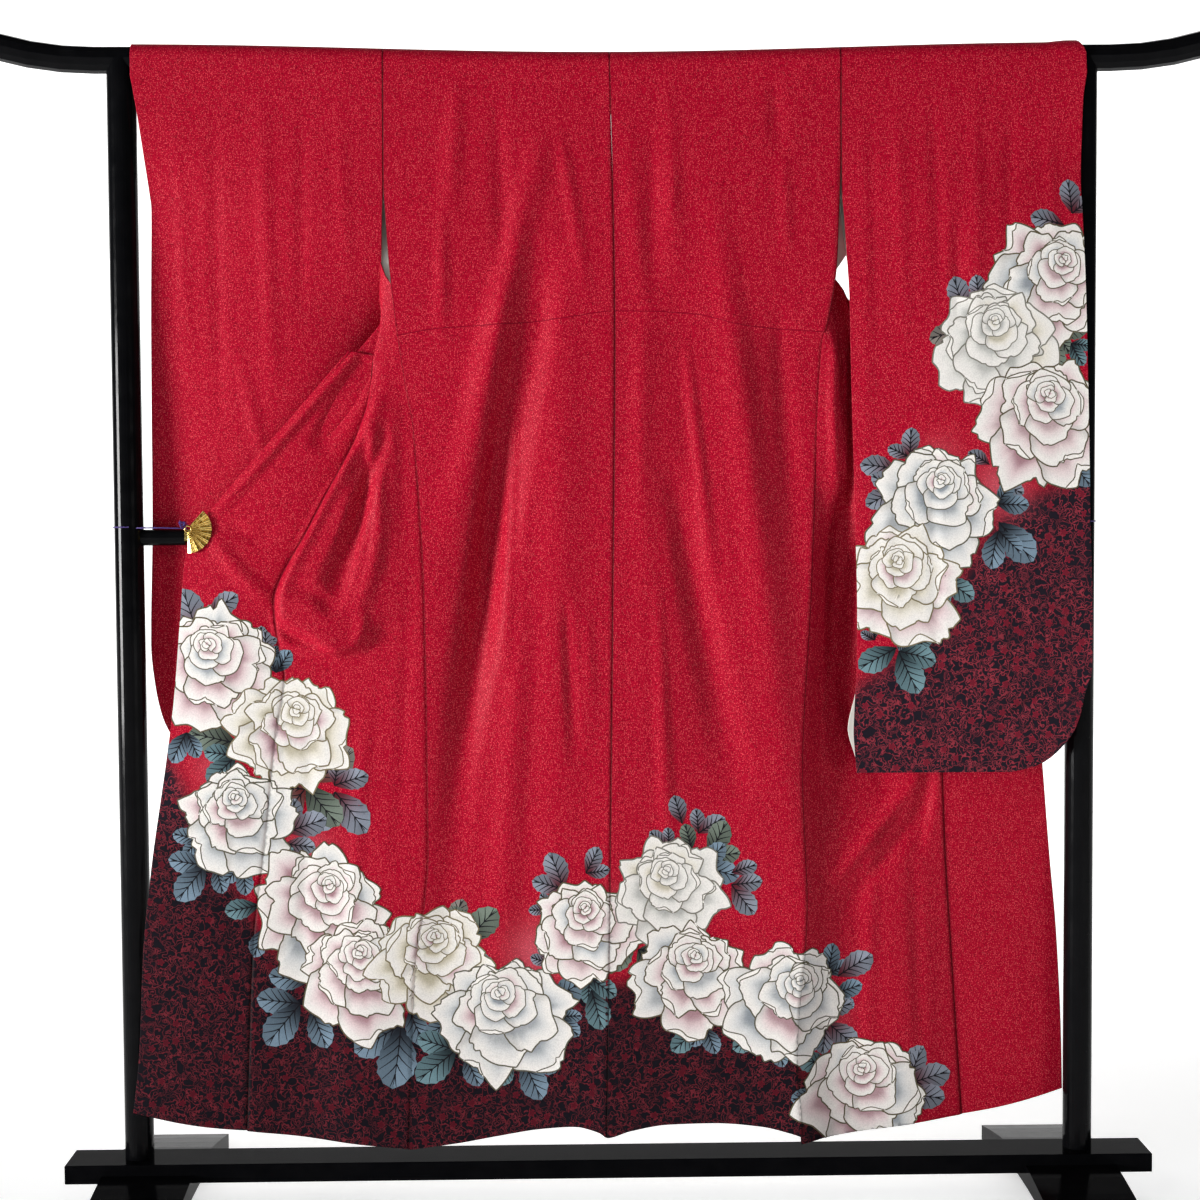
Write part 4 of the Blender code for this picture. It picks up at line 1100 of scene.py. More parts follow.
SILK_MATERIAL = make_silk()
PRINT_MATERIAL = make_print()
LINING_MATERIAL = make_lining()
LACQUER_MATERIAL = make_lacquer("lacquer", 0.07)
# Painted shade: the base's copy of the lacquer reflects almost nothing, so it stays dark as if in dimmer
# surroundings
SHADED_LACQUER_MATERIAL = make_lacquer("lacquer_base_shaded", 0.004)
GOLD_MATERIAL = make_gold()
CORD_MATERIAL = make_cord_material()
BODY_LEAVES = (
    # x, z, length, bearing, ground
    (-580, 828, 62, 106, "red"), (-565, 858, 45, 33, "red"), (-490, 811, 27, 93, "red"),
    (-471, 794, 21, 31, "night"), (-486, 797, 34, 83, "red"), (-470, 775, 34, 53, "night"),
    (-532, 719, 47, 54, "brown"), (-526, 675, 62, 166, "green"), (-528, 657, 49, -135, "teal"),
    (-597, 691, 43, -121, "night"), (-416, 619, 64, 36, "brown"), (-389, 614, 45, 21, "red"),
    (-388, 605, 65, -50, "red"), (-429, 616, 67, -56, "green"), (-431, 609, 50, -130, "brown"),
    (-457, 549, 53, 16, "red"), (-460, 532, 39, -9, "red"), (-580, 538, 35, 163, "night"),
    (-572, 503, 58, -128, "night"), (-558, 501, 36, -75, "night"), (-520, 500, 37, -82, "night"),
    (-490, 495, 46, 33, "teal"), (-498, 444, 43, -169, "teal"), (-492, 411, 38, -110, "night"),
    (-400, 374, 43, 122, "night"), (-428, 335, 51, 175, "night"), (-441, 302, 67, -130, "night"),
    (-425, 294, 53, -71, "night"), (-315, 279, 60, -133, "night"), (-339, 279, 39, -111, "night"),
    (-298, 270, 82, -95, "night"), (-286, 292, 50, -71, "night"), (-224, 407, 40, 74, "brown"),
    (-206, 386, 60, 48, "green"), (-205, 367, 41, -20, "night"), (-226, 278, 41, -143, "night"),
    (-220, 233, 63, -139, "teal"), (-206, 224, 43, -70, "night"), (-139, 212, 33, -120, "teal"),
    (-125, 218, 58, -66, "night"), (-125, 232, 49, 16, "night"), (-65, 463, 50, 105, "red"),
    (-33, 486, 37, 60, "red"), (-88, 433, 24, 179, "red"), (-81, 440, 21, 141, "red"),
    (-85, 356, 32, 108, "red"), (-86, 302, 58, 27, "night"), (-71, 278, 34, -48, "night"),
    (-29, 335, 41, -33, "teal"), (-26, 318, 53, -74, "teal"), (31, 400, 55, -119, "green"),
    (41, 375, 38, -64, "green"), (105, 555, 38, 105, "red"), (128, 541, 39, 36, "red"),
    (85, 522, 31, 143, "red"), (118, 518, 34, 101, "green"), (142, 508, 50, 60, "green"),
    (132, 494, 50, -18, "night"), (175, 484, 34, 20, "red"), (175, 467, 48, -54, "red"),
    (158, 461, 35, -107, "red"), (127, 258, 44, -140, "teal"), (137, 262, 38, -70, "night"),
    (201, 282, 32, 170, "night"), (218, 251, 42, -157, "teal"), (234, 241, 36, -63, "night"),
    (314, 333, 40, 75, "night"), (329, 328, 53, 32, "red"), (324, 302, 39, 18, "night"),
    (309, 278, 39, 12, "red"), (316, 199, 45, 163, "teal"), (299, 163, 36, -167, "night"),
    (314, 262, 51, -44, "red"), (311, 260, 44, -132, "night"), (423, 176, 50, 51, "red"),
    (433, 168, 57, 17, "red"), (427, 157, 55, -16, "red"),
)
SLEEVE_LEAVES = (
    # x, z, length, bearing, ground
    (655, 1414, 43, 94, "red"), (643, 1398, 43, 165, "red"), (504, 1277, 46, 110, "red"),
    (524, 1290, 42, 41, "red"), (501, 1251, 43, -171, "brown"), (630, 1259, 45, 79, "teal"),
    (630, 1249, 41, 4, "green"), (616, 1244, 49, -68, "green"), (602, 1233, 24, -54, "green"),
    (653, 1232, 32, -64, "teal"), (409, 1057, 46, 167, "red"), (428, 1073, 38, 92, "red"),
    (409, 1030, 44, -148, "red"), (539, 1063, 31, 145, "red"), (552, 1037, 42, 32, "red"),
    (549, 1008, 41, -5, "night"), (552, 982, 66, -49, "night"), (552, 970, 49, -105, "night"),
    (475, 903, 46, -34, "teal"), (655, 1065, 38, -50, "night"), (407, 816, 31, 18, "night"),
    (427, 808, 30, 12, "teal"), (409, 805, 54, -150, "teal"), (412, 800, 59, -67, "teal"),
    (378, 816, 20, 151, "red"),
)


# Print: roses and leaves, drawn flat in x and z, then laid on the panels

PETAL_WHITE = np.array((0.86, 0.83, 0.79))
TINTS = {
    # name: (shade at the petal's foot, middle, line)
    "pink": ((0.36, 0.19, 0.22), (0.72, 0.54, 0.56), (0.115, 0.095, 0.055)),
    "blue": ((0.25, 0.28, 0.31), (0.60, 0.62, 0.63), (0.115, 0.105, 0.070)),
    "white": ((0.40, 0.40, 0.38), (0.72, 0.71, 0.67), (0.20, 0.19, 0.155)),
    "cream": ((0.45, 0.40, 0.28), (0.77, 0.72, 0.61), (0.20, 0.165, 0.090)),
}
OTHER_TINT = {"pink": "blue", "blue": "pink", "white": "cream", "cream": "pink"}
LINE_WIDTH = 2.1


def inset(outline, width):
    """Outline moved inwards along its normals."""
    before = np.roll(outline, 1, 0)
    after = np.roll(outline, -1, 0)
    along = after - before
    normal = np.stack([-along[:, 1], along[:, 0]], -1)
    normal /= np.linalg.norm(normal, axis=1)[:, None] + 1e-9
    return outline + normal * width


def petal_outline(rng, centre, angle, reach, half_angle, rag):
    """Anticlockwise outline of a petal as a sector with a waved, pointed margin, and its margin's reach."""
    count = max(19, int(2 * half_angle * reach / 2.4))
    sweep = np.linspace(-1, 1, count)
    margin = 0.74 + 0.26 * np.clip(1 - np.abs(sweep) ** 2.6, 0, 1) ** 0.6
    tip = rng.uniform(-0.45, 0.45)
    lean = np.where(sweep > tip, rng.uniform(0.25, 0.60), rng.uniform(0.25, 0.60))
    margin += rag * rng.uniform(0.6, 1.2) * np.clip(1 - np.abs(sweep - tip) / lean, 0, 1) ** 1.3
    second = tip + rng.choice((-1, 1)) * rng.uniform(0.45, 0.75)
    margin += rag * rng.uniform(0.3, 0.7) * np.clip(1 - np.abs(sweep - second) / 0.24, 0, 1) ** 1.3
    for _ in range(2):
        notch = rng.uniform(-0.85, 0.85)
        margin -= rag * rng.uniform(0.25, 0.55) * np.clip(1 - np.abs(sweep - notch) / 0.08, 0, 1)
    margin -= 0.30 * rag * np.sin(sweep * rng.uniform(4, 7) + rng.uniform(0, 6))
    angles = angle + half_angle * sweep
    rim = centre + (reach * margin)[:, None] * np.stack([np.cos(angles), np.sin(angles)], -1)
    foot = centre - 0.10 * reach * np.array((math.cos(angle), math.sin(angle)))
    sides = []
    for start, turn in ((rim[-1], -1), (rim[0], 1)):
        part = np.linspace(0.2, 0.8, 4)[:, None]
        bow = 0.13 * reach * np.sin(np.pi * part) * turn
        across = np.array((math.sin(angle), -math.cos(angle)))
        sides.append(start + (foot - start) * part + bow * across)
    outline = np.concatenate([rim, sides[0], foot[None], sides[1][::-1]])
    return outline, (sweep, reach * margin)


def turned_rim(rng, centre, angle, half_angle, sweep, margin):
    """Outline of a narrow crescent where a petal's margin turns over."""
    start = rng.uniform(-0.85, -0.1)
    part = np.linspace(0, 1, 15)
    at = start + rng.uniform(0.65, 0.95) * part
    outer = np.interp(at, sweep, margin)
    inner = outer * (1 - rng.uniform(0.10, 0.17) * np.sin(np.pi * part) ** 0.8)
    angles = angle + half_angle * at
    along = np.stack([np.cos(angles), np.sin(angles)], -1)
    return centre + np.concatenate([outer[:, None] * along, (inner[:, None] * along)[-2:0:-1]])


# Rings of petals from the outside in
RINGS = (
    # petals, reach, half_angle, rag, tint_start, heart, line_share
    (6, 1.00, 40, 0.16, 0.60, 0.00, 1.0),
    (5, 0.77, 45, 0.15, 0.56, 0.25, 1.0),
    (4, 0.55, 54, 0.13, 0.54, 0.55, 0.85),
    (3, 0.38, 66, 0.12, 0.52, 0.80, 0.7),
    (3, 0.25, 74, 0.12, 0.48, 1.00, 0.6),
    (2, 0.145, 84, 0.16, 0.35, 1.10, 0.55),
    (2, 0.085, 88, 0.20, 0.10, 1.15, 0.5),
)
HEART_OFF = 0.30
OTHER_TINT_CHANCE = 0.25
TURNED_RINGS = 3
TURNED_CHANCE = 0.55


def flat_colour(colour):
    """Colour function of one plain colour."""
    return lambda points: np.tile(colour, (len(points), 1))


def petal_shade(centre, angle, half_angle, sweep, margin, start, strength, foot, middle):
    """Colour function of a petal: tinted at its foot, pale towards its margin, darker down its sides."""
    def shade(points):
        off = points - centre
        bearing = (np.arctan2(off[:, 1], off[:, 0]) - angle + np.pi) % (2 * np.pi) - np.pi
        across = np.clip(bearing / half_angle, -1, 1)
        part = np.linalg.norm(off, axis=1) / np.interp(across, sweep, margin)
        low = ease((part - start) / 0.18)[:, None]
        high = 1 - (1 - ease((part - start - 0.08) / 0.28)[:, None]) * strength
        colour = foot + (middle - foot) * low
        colour = colour + (PETAL_WHITE - colour) * high
        return colour * (0.72 + 0.28 * ease((0.98 - np.abs(across)) / 0.30))[:, None]
    return shade


def rose(x, z, radius, tint, turn, seed, lean):
    """Shapes of a rose from its outer petals to its heart: (outline, colour function)."""
    rng = np.random.default_rng(seed)
    line = flat_colour(TINTS[tint][2])
    lean = math.radians(lean)
    towards = np.array((math.cos(lean), math.sin(lean)))
    shapes = []
    for ring, (petals, ring_reach, ring_angle, rag, start, heart, line_share) in enumerate(RINGS):
        first = turn + ring * 0.62 + rng.uniform(-0.2, 0.2)
        centre = np.array((x, z)) + radius * HEART_OFF * heart * towards
        width = LINE_WIDTH * line_share
        for k in range(petals):
            angle = first + k * 2 * math.pi / petals + rng.uniform(-0.16, 0.16)
            droop = 1 - 0.15 * (1 - heart) * math.cos(angle - lean)
            reach = radius * ring_reach * droop * rng.uniform(0.92, 1.08)
            half_angle = math.radians(ring_angle * rng.uniform(0.90, 1.12))
            outline, (sweep, margin) = petal_outline(rng, centre, angle, reach, half_angle, rag)
            strength = rng.uniform(0.75, 1.0)
            own_tint = OTHER_TINT[tint] if rng.random() < OTHER_TINT_CHANCE else tint
            foot, middle = np.array(TINTS[own_tint][:2])
            shade = petal_shade(centre, angle, half_angle, sweep, margin, start, strength, foot, middle)
            shapes += [(outline, line), (inset(outline, width), shade)]
            if ring < TURNED_RINGS and rng.random() < TURNED_CHANCE:
                rim = turned_rim(rng, centre, angle, half_angle, sweep, margin)
                shapes += [(rim, line), (inset(rim, 0.8 * width), flat_colour(1.04 * PETAL_WHITE))]
    return shapes


GROUNDS = {
    # name: (colour at the leaf's foot, colour at its tip)
    "night": ((0.012, 0.014, 0.020), (0.165, 0.235, 0.300)),
    "teal": ((0.014, 0.022, 0.026), (0.140, 0.235, 0.262)),
    "green": ((0.030, 0.034, 0.026), (0.150, 0.185, 0.150)),
    "red": ((0.100, 0.012, 0.020), (0.215, 0.240, 0.290)),
    "brown": ((0.120, 0.022, 0.022), (0.205, 0.185, 0.165)),
}
VEIN = (0.010, 0.009, 0.012)
VEIN_STARTS = (0.16, 0.31, 0.46, 0.61, 0.76)
# Widths at the start and the end
RIB_WIDTHS = (2.3, 0.9)
VEIN_WIDTHS = (1.9, 0.8)
LEAF_PLUMP = 0.60


def strip(points, width_start, width_end):
    """Outline of a thin line that tapers along points."""
    points = np.asarray(points, float)
    along = np.gradient(points, axis=0)
    normal = np.stack([-along[:, 1], along[:, 0]], -1)
    normal /= np.linalg.norm(normal, axis=1)[:, None] + 1e-9
    half = np.linspace(width_start, width_end, len(points))[:, None] / 2
    return np.concatenate([points - normal * half, (points + normal * half)[::-1]])


def leaf(x, z, length, bearing, ground, seed):
    """Shapes of one leaflet from its foot at x and z: blade, then veins."""
    rng = np.random.default_rng(seed)
    foot, tip = (np.array(value) for value in GROUNDS[ground])
    angle = math.radians(bearing)
    ahead = np.array((math.cos(angle), math.sin(angle)))
    aside = np.array((-ahead[1], ahead[0]))
    bend = rng.uniform(-0.10, 0.10)

    def place(part, off):
        part = np.asarray(part, float)
        off = np.asarray(off, float) + bend * length * part * part
        return np.array((x, z)) + np.outer(part * length, ahead) + np.outer(off, aside)

    part = np.linspace(0.0, 1.0, 13)
    half = LEAF_PLUMP * length / 2 * np.sin(np.pi * part ** 1.35) ** 0.62
    half[-1] = 0.0
    teeth = 1 + 0.055 * np.where(np.arange(len(part)) % 2, 1, -1) * (part > 0.4)
    right = place(part, -half * teeth)
    left = place(part, half * teeth)

    def blade(points):
        off = points - np.array((x, z))
        share = ease((off @ ahead / length - 0.05) / 0.75)[:, None]
        lit = 1 + 0.22 * np.sign(off @ aside - bend * length * (off @ ahead / length) ** 2)[:, None] * share
        return (foot + (tip - foot) * share) * lit

    dark = flat_colour(VEIN)
    rib = np.linspace(0.0, 0.93, 7)
    outline = np.concatenate([right, left[1:-1][::-1]])
    shapes = [(outline, blade), (strip(place(rib, 0 * rib), *RIB_WIDTHS), dark)]
    run = np.linspace(0, 1, 4)
    for side in (-1, 1):
        for start in VEIN_STARTS:
            reach = min(start + 0.24, 0.97)
            wide = np.interp(reach, part, half) * 0.90
            line = place(start + (reach - start) * run, side * wide * run ** 1.25)
            shapes.append((strip(line, *VEIN_WIDTHS), dark))
    return shapes


LATTICE = 4.6


def within(outline, points):
    """Which points lie inside an outline."""
    inside = np.zeros(len(points), bool)
    low = outline.min(0)
    high = outline.max(0)
    near = np.all((points >= low) & (points <= high), axis=1)
    x, z = points[near].T
    crossings = np.zeros(len(x), bool)
    for (x0, z0), (x1, z1) in zip(outline, np.roll(outline, -1, 0)):
        if z0 != z1:
            across = (z0 > z) != (z1 > z)
            crossings ^= across & (x < x0 + (z - z0) * (x1 - x0) / (z1 - z0))
    inside[near] = crossings
    return inside


def flatten(shapes):
    """One flat mesh, each triangle in its top shape's colours: points, triangles, corner colours."""
    corners = []
    edges = []
    for outline, _ in shapes:
        first = len(corners)
        count = len(outline)
        edges += [(first + k, first + (k + 1) % count) for k in range(count)]
        corners += outline.tolist()
    box = zip(np.min(corners, 0), np.max(corners, 0))
    columns, rows = (np.arange(low, high, LATTICE) for low, high in box)
    lattice = np.stack(np.meshgrid(columns, rows), -1)
    lattice[::2, :, 0] += LATTICE / 2
    corners += lattice.reshape(-1, 2).tolist()
    made = delaunay_2d_cdt([Vector(corner) for corner in corners], edges, [], 0, 0.02)
    points = np.array([tuple(point) for point in made[0]])
    tris = np.array([face for face in made[2] if len(face) == 3])
    centres = points[tris].mean(1)
    tops = np.full(len(tris), -1)
    for number, (outline, _) in enumerate(shapes):
        tops[within(outline, centres)] = number
    tris = tris[tops >= 0]
    tops = tops[tops >= 0]
    colours = np.zeros((len(tris), 3, 3))
    for number in np.unique(tops):
        mine = tops == number
        at = points[tris[mine]].reshape(-1, 2)
        colours[mine] = shapes[number][1](at).reshape(-1, 3, 3)
    return points, tris, colours


# Cloth pieces

SILK_PAIR = (SILK_MATERIAL, LINING_MATERIAL)
BODY_WIDTH = 300.0
BACK_LENGTH = 1535.0
ACROSS = 4.4
ALONG = 6.6
EDGE = (0.0, 1.0, 2.2, 4.0, 7.0)
ARMHOLE_ROWS = 44
SEAM_ROWS = 190
WRAP_STEPS = 26
ARMHOLE_FOOT = 1440.0
NO_SEAM = 1000.0
COLLAR_STEPS = 260
# Near half of the collar's section: how far down from its sewn edge, and half its thickness there
COLLAR_SECTION = (
    (0.0, 0.15), (3.0, 0.62), (14.0, 0.62), (28.0, 0.87), (42.0, 0.62), (51.0, 0.62), (54.0, 0.5),
)
SURFACES = {}


def keep_surface(name, grid, facing):
    """Remember a panel's form, so that its print can be laid on it. facing is -1 near, 1 far."""
    SURFACES[name] = (BVHTree.FromPolygons(grid.reshape(-1, 3).tolist(), grid_quads(grid).tolist()), facing)


def tuck_relief(x, z):
    """The back's tuck: a fine furrow with a low step under it."""
    under = look_up(TUCK_LINE, x)[0] - z
    step = TUCK_STEP * ease(under / 1.5) * ease(1 - under / TUCK_DEPTH)
    return step + 0.8 * hump(under, 2.6)


def build_body(side, word):
    """Back and front of one side in one shell over the shoulder, with the neck cut out."""
    u = laid_at(BODY_WIDTH, EDGE, ACROSS)
    v = laid_at(BACK_LENGTH, EDGE, ALONG)[:-1]
    grid_u, grid_v = np.meshgrid(u, v)
    back = back_point(side, grid_u, grid_v)
    off = (grid_u if side < 0 else 1 - grid_u) * BODY_WIDTH
    back[..., 1] += edge_roll(off) * ease((1 - grid_v) * 8) + tuck_relief(back[..., 0], back[..., 2])
    foot = back_point(side, u, np.ones(len(u)))
    over = np.stack([wrap_point(foot[:, 0], part) for part in np.linspace(0, 1, WRAP_STEPS + 1)])
    neck_row = over[-1:].copy()
    neck_row[..., 2] = NECK_EDGE_Z
    first = int(np.argmin(np.abs(u - NECK_SHARE)))
    across = np.clip(1 - (u - u[first]) / (1 - u[first]), 0, 1)
    armhole_rows = np.linspace(0, 1, ARMHOLE_ROWS)[1:]
    rows = np.concatenate([armhole_rows, np.linspace(1, 2, SEAM_ROWS)[1:-1], [1.997, 2.0]])
    front_u, front_row = np.meshgrid(across, rows)
    front = front_point(side, front_u, front_row)
    width = BODY_WIDTH * (1 - u[first])
    off = front_u * width - SIDE_SEAM_LAP if side < 0 else (1 - front_u) * width
    front[..., 1] += edge_roll(off) * ease((front_row - 1.1) / 0.1)
    grid = np.concatenate([back, over, neck_row, front])
    front_from = len(grid) - len(front)
    keep = np.ones(grid.shape[:2], bool)
    keep[front_from:, :first] = False
    turned = slice(None, None, -side)
    ground = printed_ground(LEFT_DARK, BODY_GLOWS, grid[..., 0], grid[..., 2])
    inner_off = np.tile(u * BODY_WIDTH, (len(grid), 1))
    inner_off[front_from:] -= u[first] * BODY_WIDTH
    ground = with_painted_seam_shade(ground, np.abs(inner_off), (1 - u) * BODY_WIDTH)[:, turned]
    obj = cloth("silk_body_" + word, grid[:, turned], SILK_PAIR, SILK, keep[:, turned], ground)
    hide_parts("body_" + word)
    keep_surface("back_" + word, back, -1)
    keep_surface("front_" + word, front[rows >= 1.0][:, first:], -1)
    return obj


def build_okumi(side, word):
    """Overlap panel, from its point at the neck edge to the hem."""
    u = laid_at(OKUMI_WIDTH, EDGE, ACROSS)
    rows = laid_at(OKUMI_LENGTH, EDGE, ALONG) * (2.0 - OKUMI_FIRST_ROW) + OKUMI_FIRST_ROW
    grid_u, grid_row = np.meshgrid(u, rows)
    grid = okumi_point(side, grid_u, grid_row)
    off = grid_u * OKUMI_WIDTH
    if side < 0:
        grid[..., 1] += edge_roll(off - OKUMI_LAP)
        off = np.maximum(off - OKUMI_LAP, 0)
    ground = with_painted_seam_shade(printed_ground(LEFT_DARK, BODY_GLOWS, grid[..., 0], grid[..., 2]), off)
    obj = cloth("silk_okumi_" + word, grid[:, ::side], SILK_PAIR, ground=ground[:, ::side])
    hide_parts("okumi_" + word)
    keep_surface("okumi_" + word, grid, -1)
    return obj


def build_sleeve(side, word):
    """One piece folded at the shoulder: cuff and body edge open, the edge below the cuff closed."""
    top = SLEEVE[side][0][0]
    bottom = SLEEVE[side][-1][0]
    u = laid_at(SLEEVE_WIDTH, EDGE, ACROSS)
    heights = bottom + laid_at(top - bottom, EDGE, ALONG) * (top - bottom)
    grid_u, grid_z = np.meshgrid(u, heights)
    near = sleeve_point(side, grid_u, grid_z, -1)
    far = sleeve_point(side, grid_u, grid_z, 1)[::-1]
    over = []
    for part in np.linspace(0, 1, WRAP_STEPS + 1)[1:-1]:
        over.append(wrap_point(blend(near[-1, :, 0], far[0, :, 0], part), part))
    grid = np.concatenate([near, np.stack(over), far])
    ground = printed_ground(SLEEVE_DARK, SLEEVE_GLOWS, side * grid[..., 0], grid[..., 2])
    plain = slice(len(near), None) if side > 0 else slice(0, len(near))
    ground[plain] = 0
    ground = with_painted_seam_shade(ground, np.where(grid[..., 2] > ARMHOLE_FOOT, u * SLEEVE_WIDTH, NO_SEAM))
    obj = cloth("silk_sleeve_" + word, grid[:, ::-side], SILK_PAIR, ground=ground[:, ::-side])
    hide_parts("sleeve_" + word)
    keep_surface("sleeve_" + word, near, -1)
    keep_surface("sleeve_far_" + word, far, 1)
    return obj


def build_collar():
    """Folded band from clip to clip round the neck, its sewn edge up and its fold down."""
    x, y, z, drop_x, drop_z = look_up(COLLAR_PATH, np.linspace(0, COLLAR_PATH[-1][0], COLLAR_STEPS + 1))
    edge = np.stack([x, y, z], -1)
    drop = np.stack([drop_x, 0 * drop_x, drop_z], -1)
    drop /= np.linalg.norm(drop, axis=1)[:, None]
    section = list(COLLAR_SECTION) + [(COLLAR_WIDTH, 0.0)] + [(d, -h) for d, h in reversed(COLLAR_SECTION)]
    grid = np.stack([edge + drop * d + np.array((0.0, h, 0.0)) for d, h in section], 1)
    obj = cloth("silk_collar", grid, (SILK_MATERIAL, SILK_MATERIAL), 1.0)
    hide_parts("collar")
    return obj


def paint_cad(mat, *names):
    """Better material on rigid solids that stay."""
    for name in names:
        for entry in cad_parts[name].material_slots:
            entry.link = "OBJECT"
            entry.material = mat


# Trim of the clips

KNOT_AT = (CLIP_X + 7.0, -3.5, CLIP_Z + 7.0)
KNOT_SIZE = 1.5
KNOT_STEPS = 60
TUFT_STRANDS = 16
TUFT_RADIUS = 0.45
CORD_TURN_FROM = 230
CORD_TURN = 330
CORD_TURN_STEPS = 20
RIB_RADIUS = 0.55
PIVOT_RADIUS = 4.6
PIVOT_WIRE = 1.2
PIVOT_STEPS = 32


def fan_y(side):
    """Depth of a clip's fan in front of the cloth."""
    return CLIP_CLOTH_Y[side] - FAN_STAND_OFF


def line_tube(name, routes, radius, mat, closed=False):
    """Round cords or wires of one radius along routes in millimetres."""
    curve = bpy.data.curves.new(name, "CURVE")
    curve.dimensions = "3D"
    curve.bevel_depth = radius * MM
    curve.bevel_resolution = 3
    curve.use_fill_caps = not closed
    for route in routes:
        spline = curve.splines.new("POLY")
        spline.points.add(len(route) - 1)
        spline.use_cyclic_u = closed
        for point, place in zip(spline.points, route):
            point.co = (place[0] * MM, place[1] * MM, place[2] * MM, 1.0)
    curve.materials.append(mat)
    return add_piece(name, curve)


def cord_route(side):
    """A clip's cord along its peg arm and once round the post."""
    height = ARM_Z + ARM_RADIUS + CORD_ABOVE_ARM
    ring = POST_RADIUS + CORD_RADIUS + TOUCH
    jaw_top = CLIP_Z - 1 + CORD_RADIUS + TOUCH
    start_y = fan_y(side)
    route = [(CLIP_X + 1, start_y + 4, jaw_top), (CLIP_X + 12, start_y + 2, jaw_top + 1)]
    route.append((CLIP_X + 38, -14, height))
    for n in range(CORD_TURN_STEPS):
        angle = math.radians(CORD_TURN_FROM - CORD_TURN * n / (CORD_TURN_STEPS - 1))
        rise = 1.5 * n / CORD_TURN_STEPS
        route.append((POST_X + ring * math.cos(angle), ring * math.sin(angle), height + rise))
    return [(side * x, y, z) for x, y, z in route]


def build_cord(side, word):
    """Purple cord of a clip with its knot and tuft."""
    route = cord_route(side)
    cord = line_tube("cord_" + word, [route], CORD_RADIUS, CORD_MATERIAL)
    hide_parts("clip_cord_" + word)
    centre = np.array((side * KNOT_AT[0], fan_y(side) + KNOT_AT[1], KNOT_AT[2]))
    turn = np.linspace(0, 2 * np.pi, KNOT_STEPS + 1)[:-1]
    knot_x = np.sin(turn) + 2 * np.sin(2 * turn)
    knot_z = np.cos(turn) - 2 * np.cos(2 * turn)
    knot = centre + KNOT_SIZE * np.stack([knot_x, -np.sin(3 * turn), knot_z], -1)
    tied = line_tube("cord_knot_" + word, [knot], CORD_RADIUS, CORD_MATERIAL, True)
    rng = np.random.default_rng(40 + side)
    part = np.linspace(0.2, 1, 5)[:, None]
    strands = []
    for _ in range(TUFT_STRANDS):
        angle = rng.uniform(math.radians(20), math.radians(215))
        reach = rng.uniform(5, 9)
        way = np.array((side * math.cos(angle), 0.0, math.sin(angle)))
        droop = np.array((0.0, 0.0, -2.5)) * part ** 2
        depth = np.array((0.0, rng.uniform(-2.0, 0.5), 0.0))
        strands.append(centre + reach * part * way + droop + depth)
    tuft = line_tube("cord_tuft_" + word, strands, TUFT_RADIUS, CORD_MATERIAL)


def build_fan_trim(side, word):
    """Bright ribs on a fan's ridges and the ring at its pivot."""
    y = fan_y(side)
    ribs = []
    for n in range(FAN_PLEATS + 1):
        angle = blend(FAN_FROM, FAN_TO, n / FAN_PLEATS)
        rib = []
        for radius in (FAN_ROOT, 0.5 * FAN_RADIUS, FAN_RADIUS - 0.5):
            x = -CLIP_X + radius * math.cos(angle)
            ridge = FAN_RELIEF * radius / FAN_RADIUS + FAN_SHEET / 2
            rib.append((-side * x, y - ridge, CLIP_Z + radius * math.sin(angle)))
        ribs.append(rib)
    line_tube("fan_ribs_" + word, ribs, RIB_RADIUS, GOLD_MATERIAL)
    centre = np.array((side * (CLIP_X - 1.0), y - 1.6, CLIP_Z))
    turn = np.linspace(0, 2 * np.pi, PIVOT_STEPS + 1)[:-1]
    ring = centre + PIVOT_RADIUS * np.stack([np.cos(turn), 0 * turn, np.sin(turn)], -1)
    line_tube("fan_ring_" + word, [ring], PIVOT_WIRE, GOLD_MATERIAL, True)


# Camera, light and floor, in metres

FOCAL_PX = 2105.3
FRAME_PX = 1200.0
CAMERA_AT = (-0.0632, -3.0, 1.0257)
CAMERA_YAW = 0.01778
CAMERA_PITCH = 0.05057
CAMERA_ROLL = -0.00615
WORLD_LIGHT = 0.06
PAPER_GREY = 0.90
PAPER_GLOW = 0.52
PAPER_REACH = 12.0
PAPER_DROP = 0.0005
WALL_Y = 6.8
WALL_TOP = 10.0
WALL_CURVE = 1.2
CURVE_STEPS = 12
LIGHTS = (
    # name, at, aim, size, power, spread
    ("key_left", (-6.4, -2.9, 0.85), (-0.1, 0, 0.95), (1.8, 1.7), 31, 36),
    ("fill_right", (2.7, -2.7, 0.8), (0.3, 0, 0.8), (0.6, 1.6), 17, 180),
    ("fill_above", (-2.5, -3.2, 3.6), (0, 0, 0.9), (1.2, 1.2), 27, 180),
    ("wall_wash", (0, 3.0, 3.6), (0, 5.8, 0.6), (6.0, 1.2), 190, 180),
)


def place_camera():
    """Camera where the photo was taken from, looking a little down and to the right."""
    yaw, pitch, roll = CAMERA_YAW, CAMERA_PITCH, CAMERA_ROLL
    ahead = Vector((math.sin(yaw) * math.cos(pitch), math.cos(yaw) * math.cos(pitch), -math.sin(pitch)))
    level = ahead.cross(Vector((0, 0, 1))).normalized()
    upright = level.cross(ahead)
    right = math.cos(roll) * level + math.sin(roll) * upright
    up = math.cos(roll) * upright - math.sin(roll) * level
    data = bpy.data.cameras.new("photo_camera")
    data.sensor_width = 36.0
    data.lens = FOCAL_PX / FRAME_PX * data.sensor_width
    camera = add_object("photo_camera", data)
    place = Matrix((right, up, -ahead)).transposed().to_4x4()
    place.translation = Vector(CAMERA_AT)
    camera.matrix_world = place
    bpy.context.scene.camera = camera


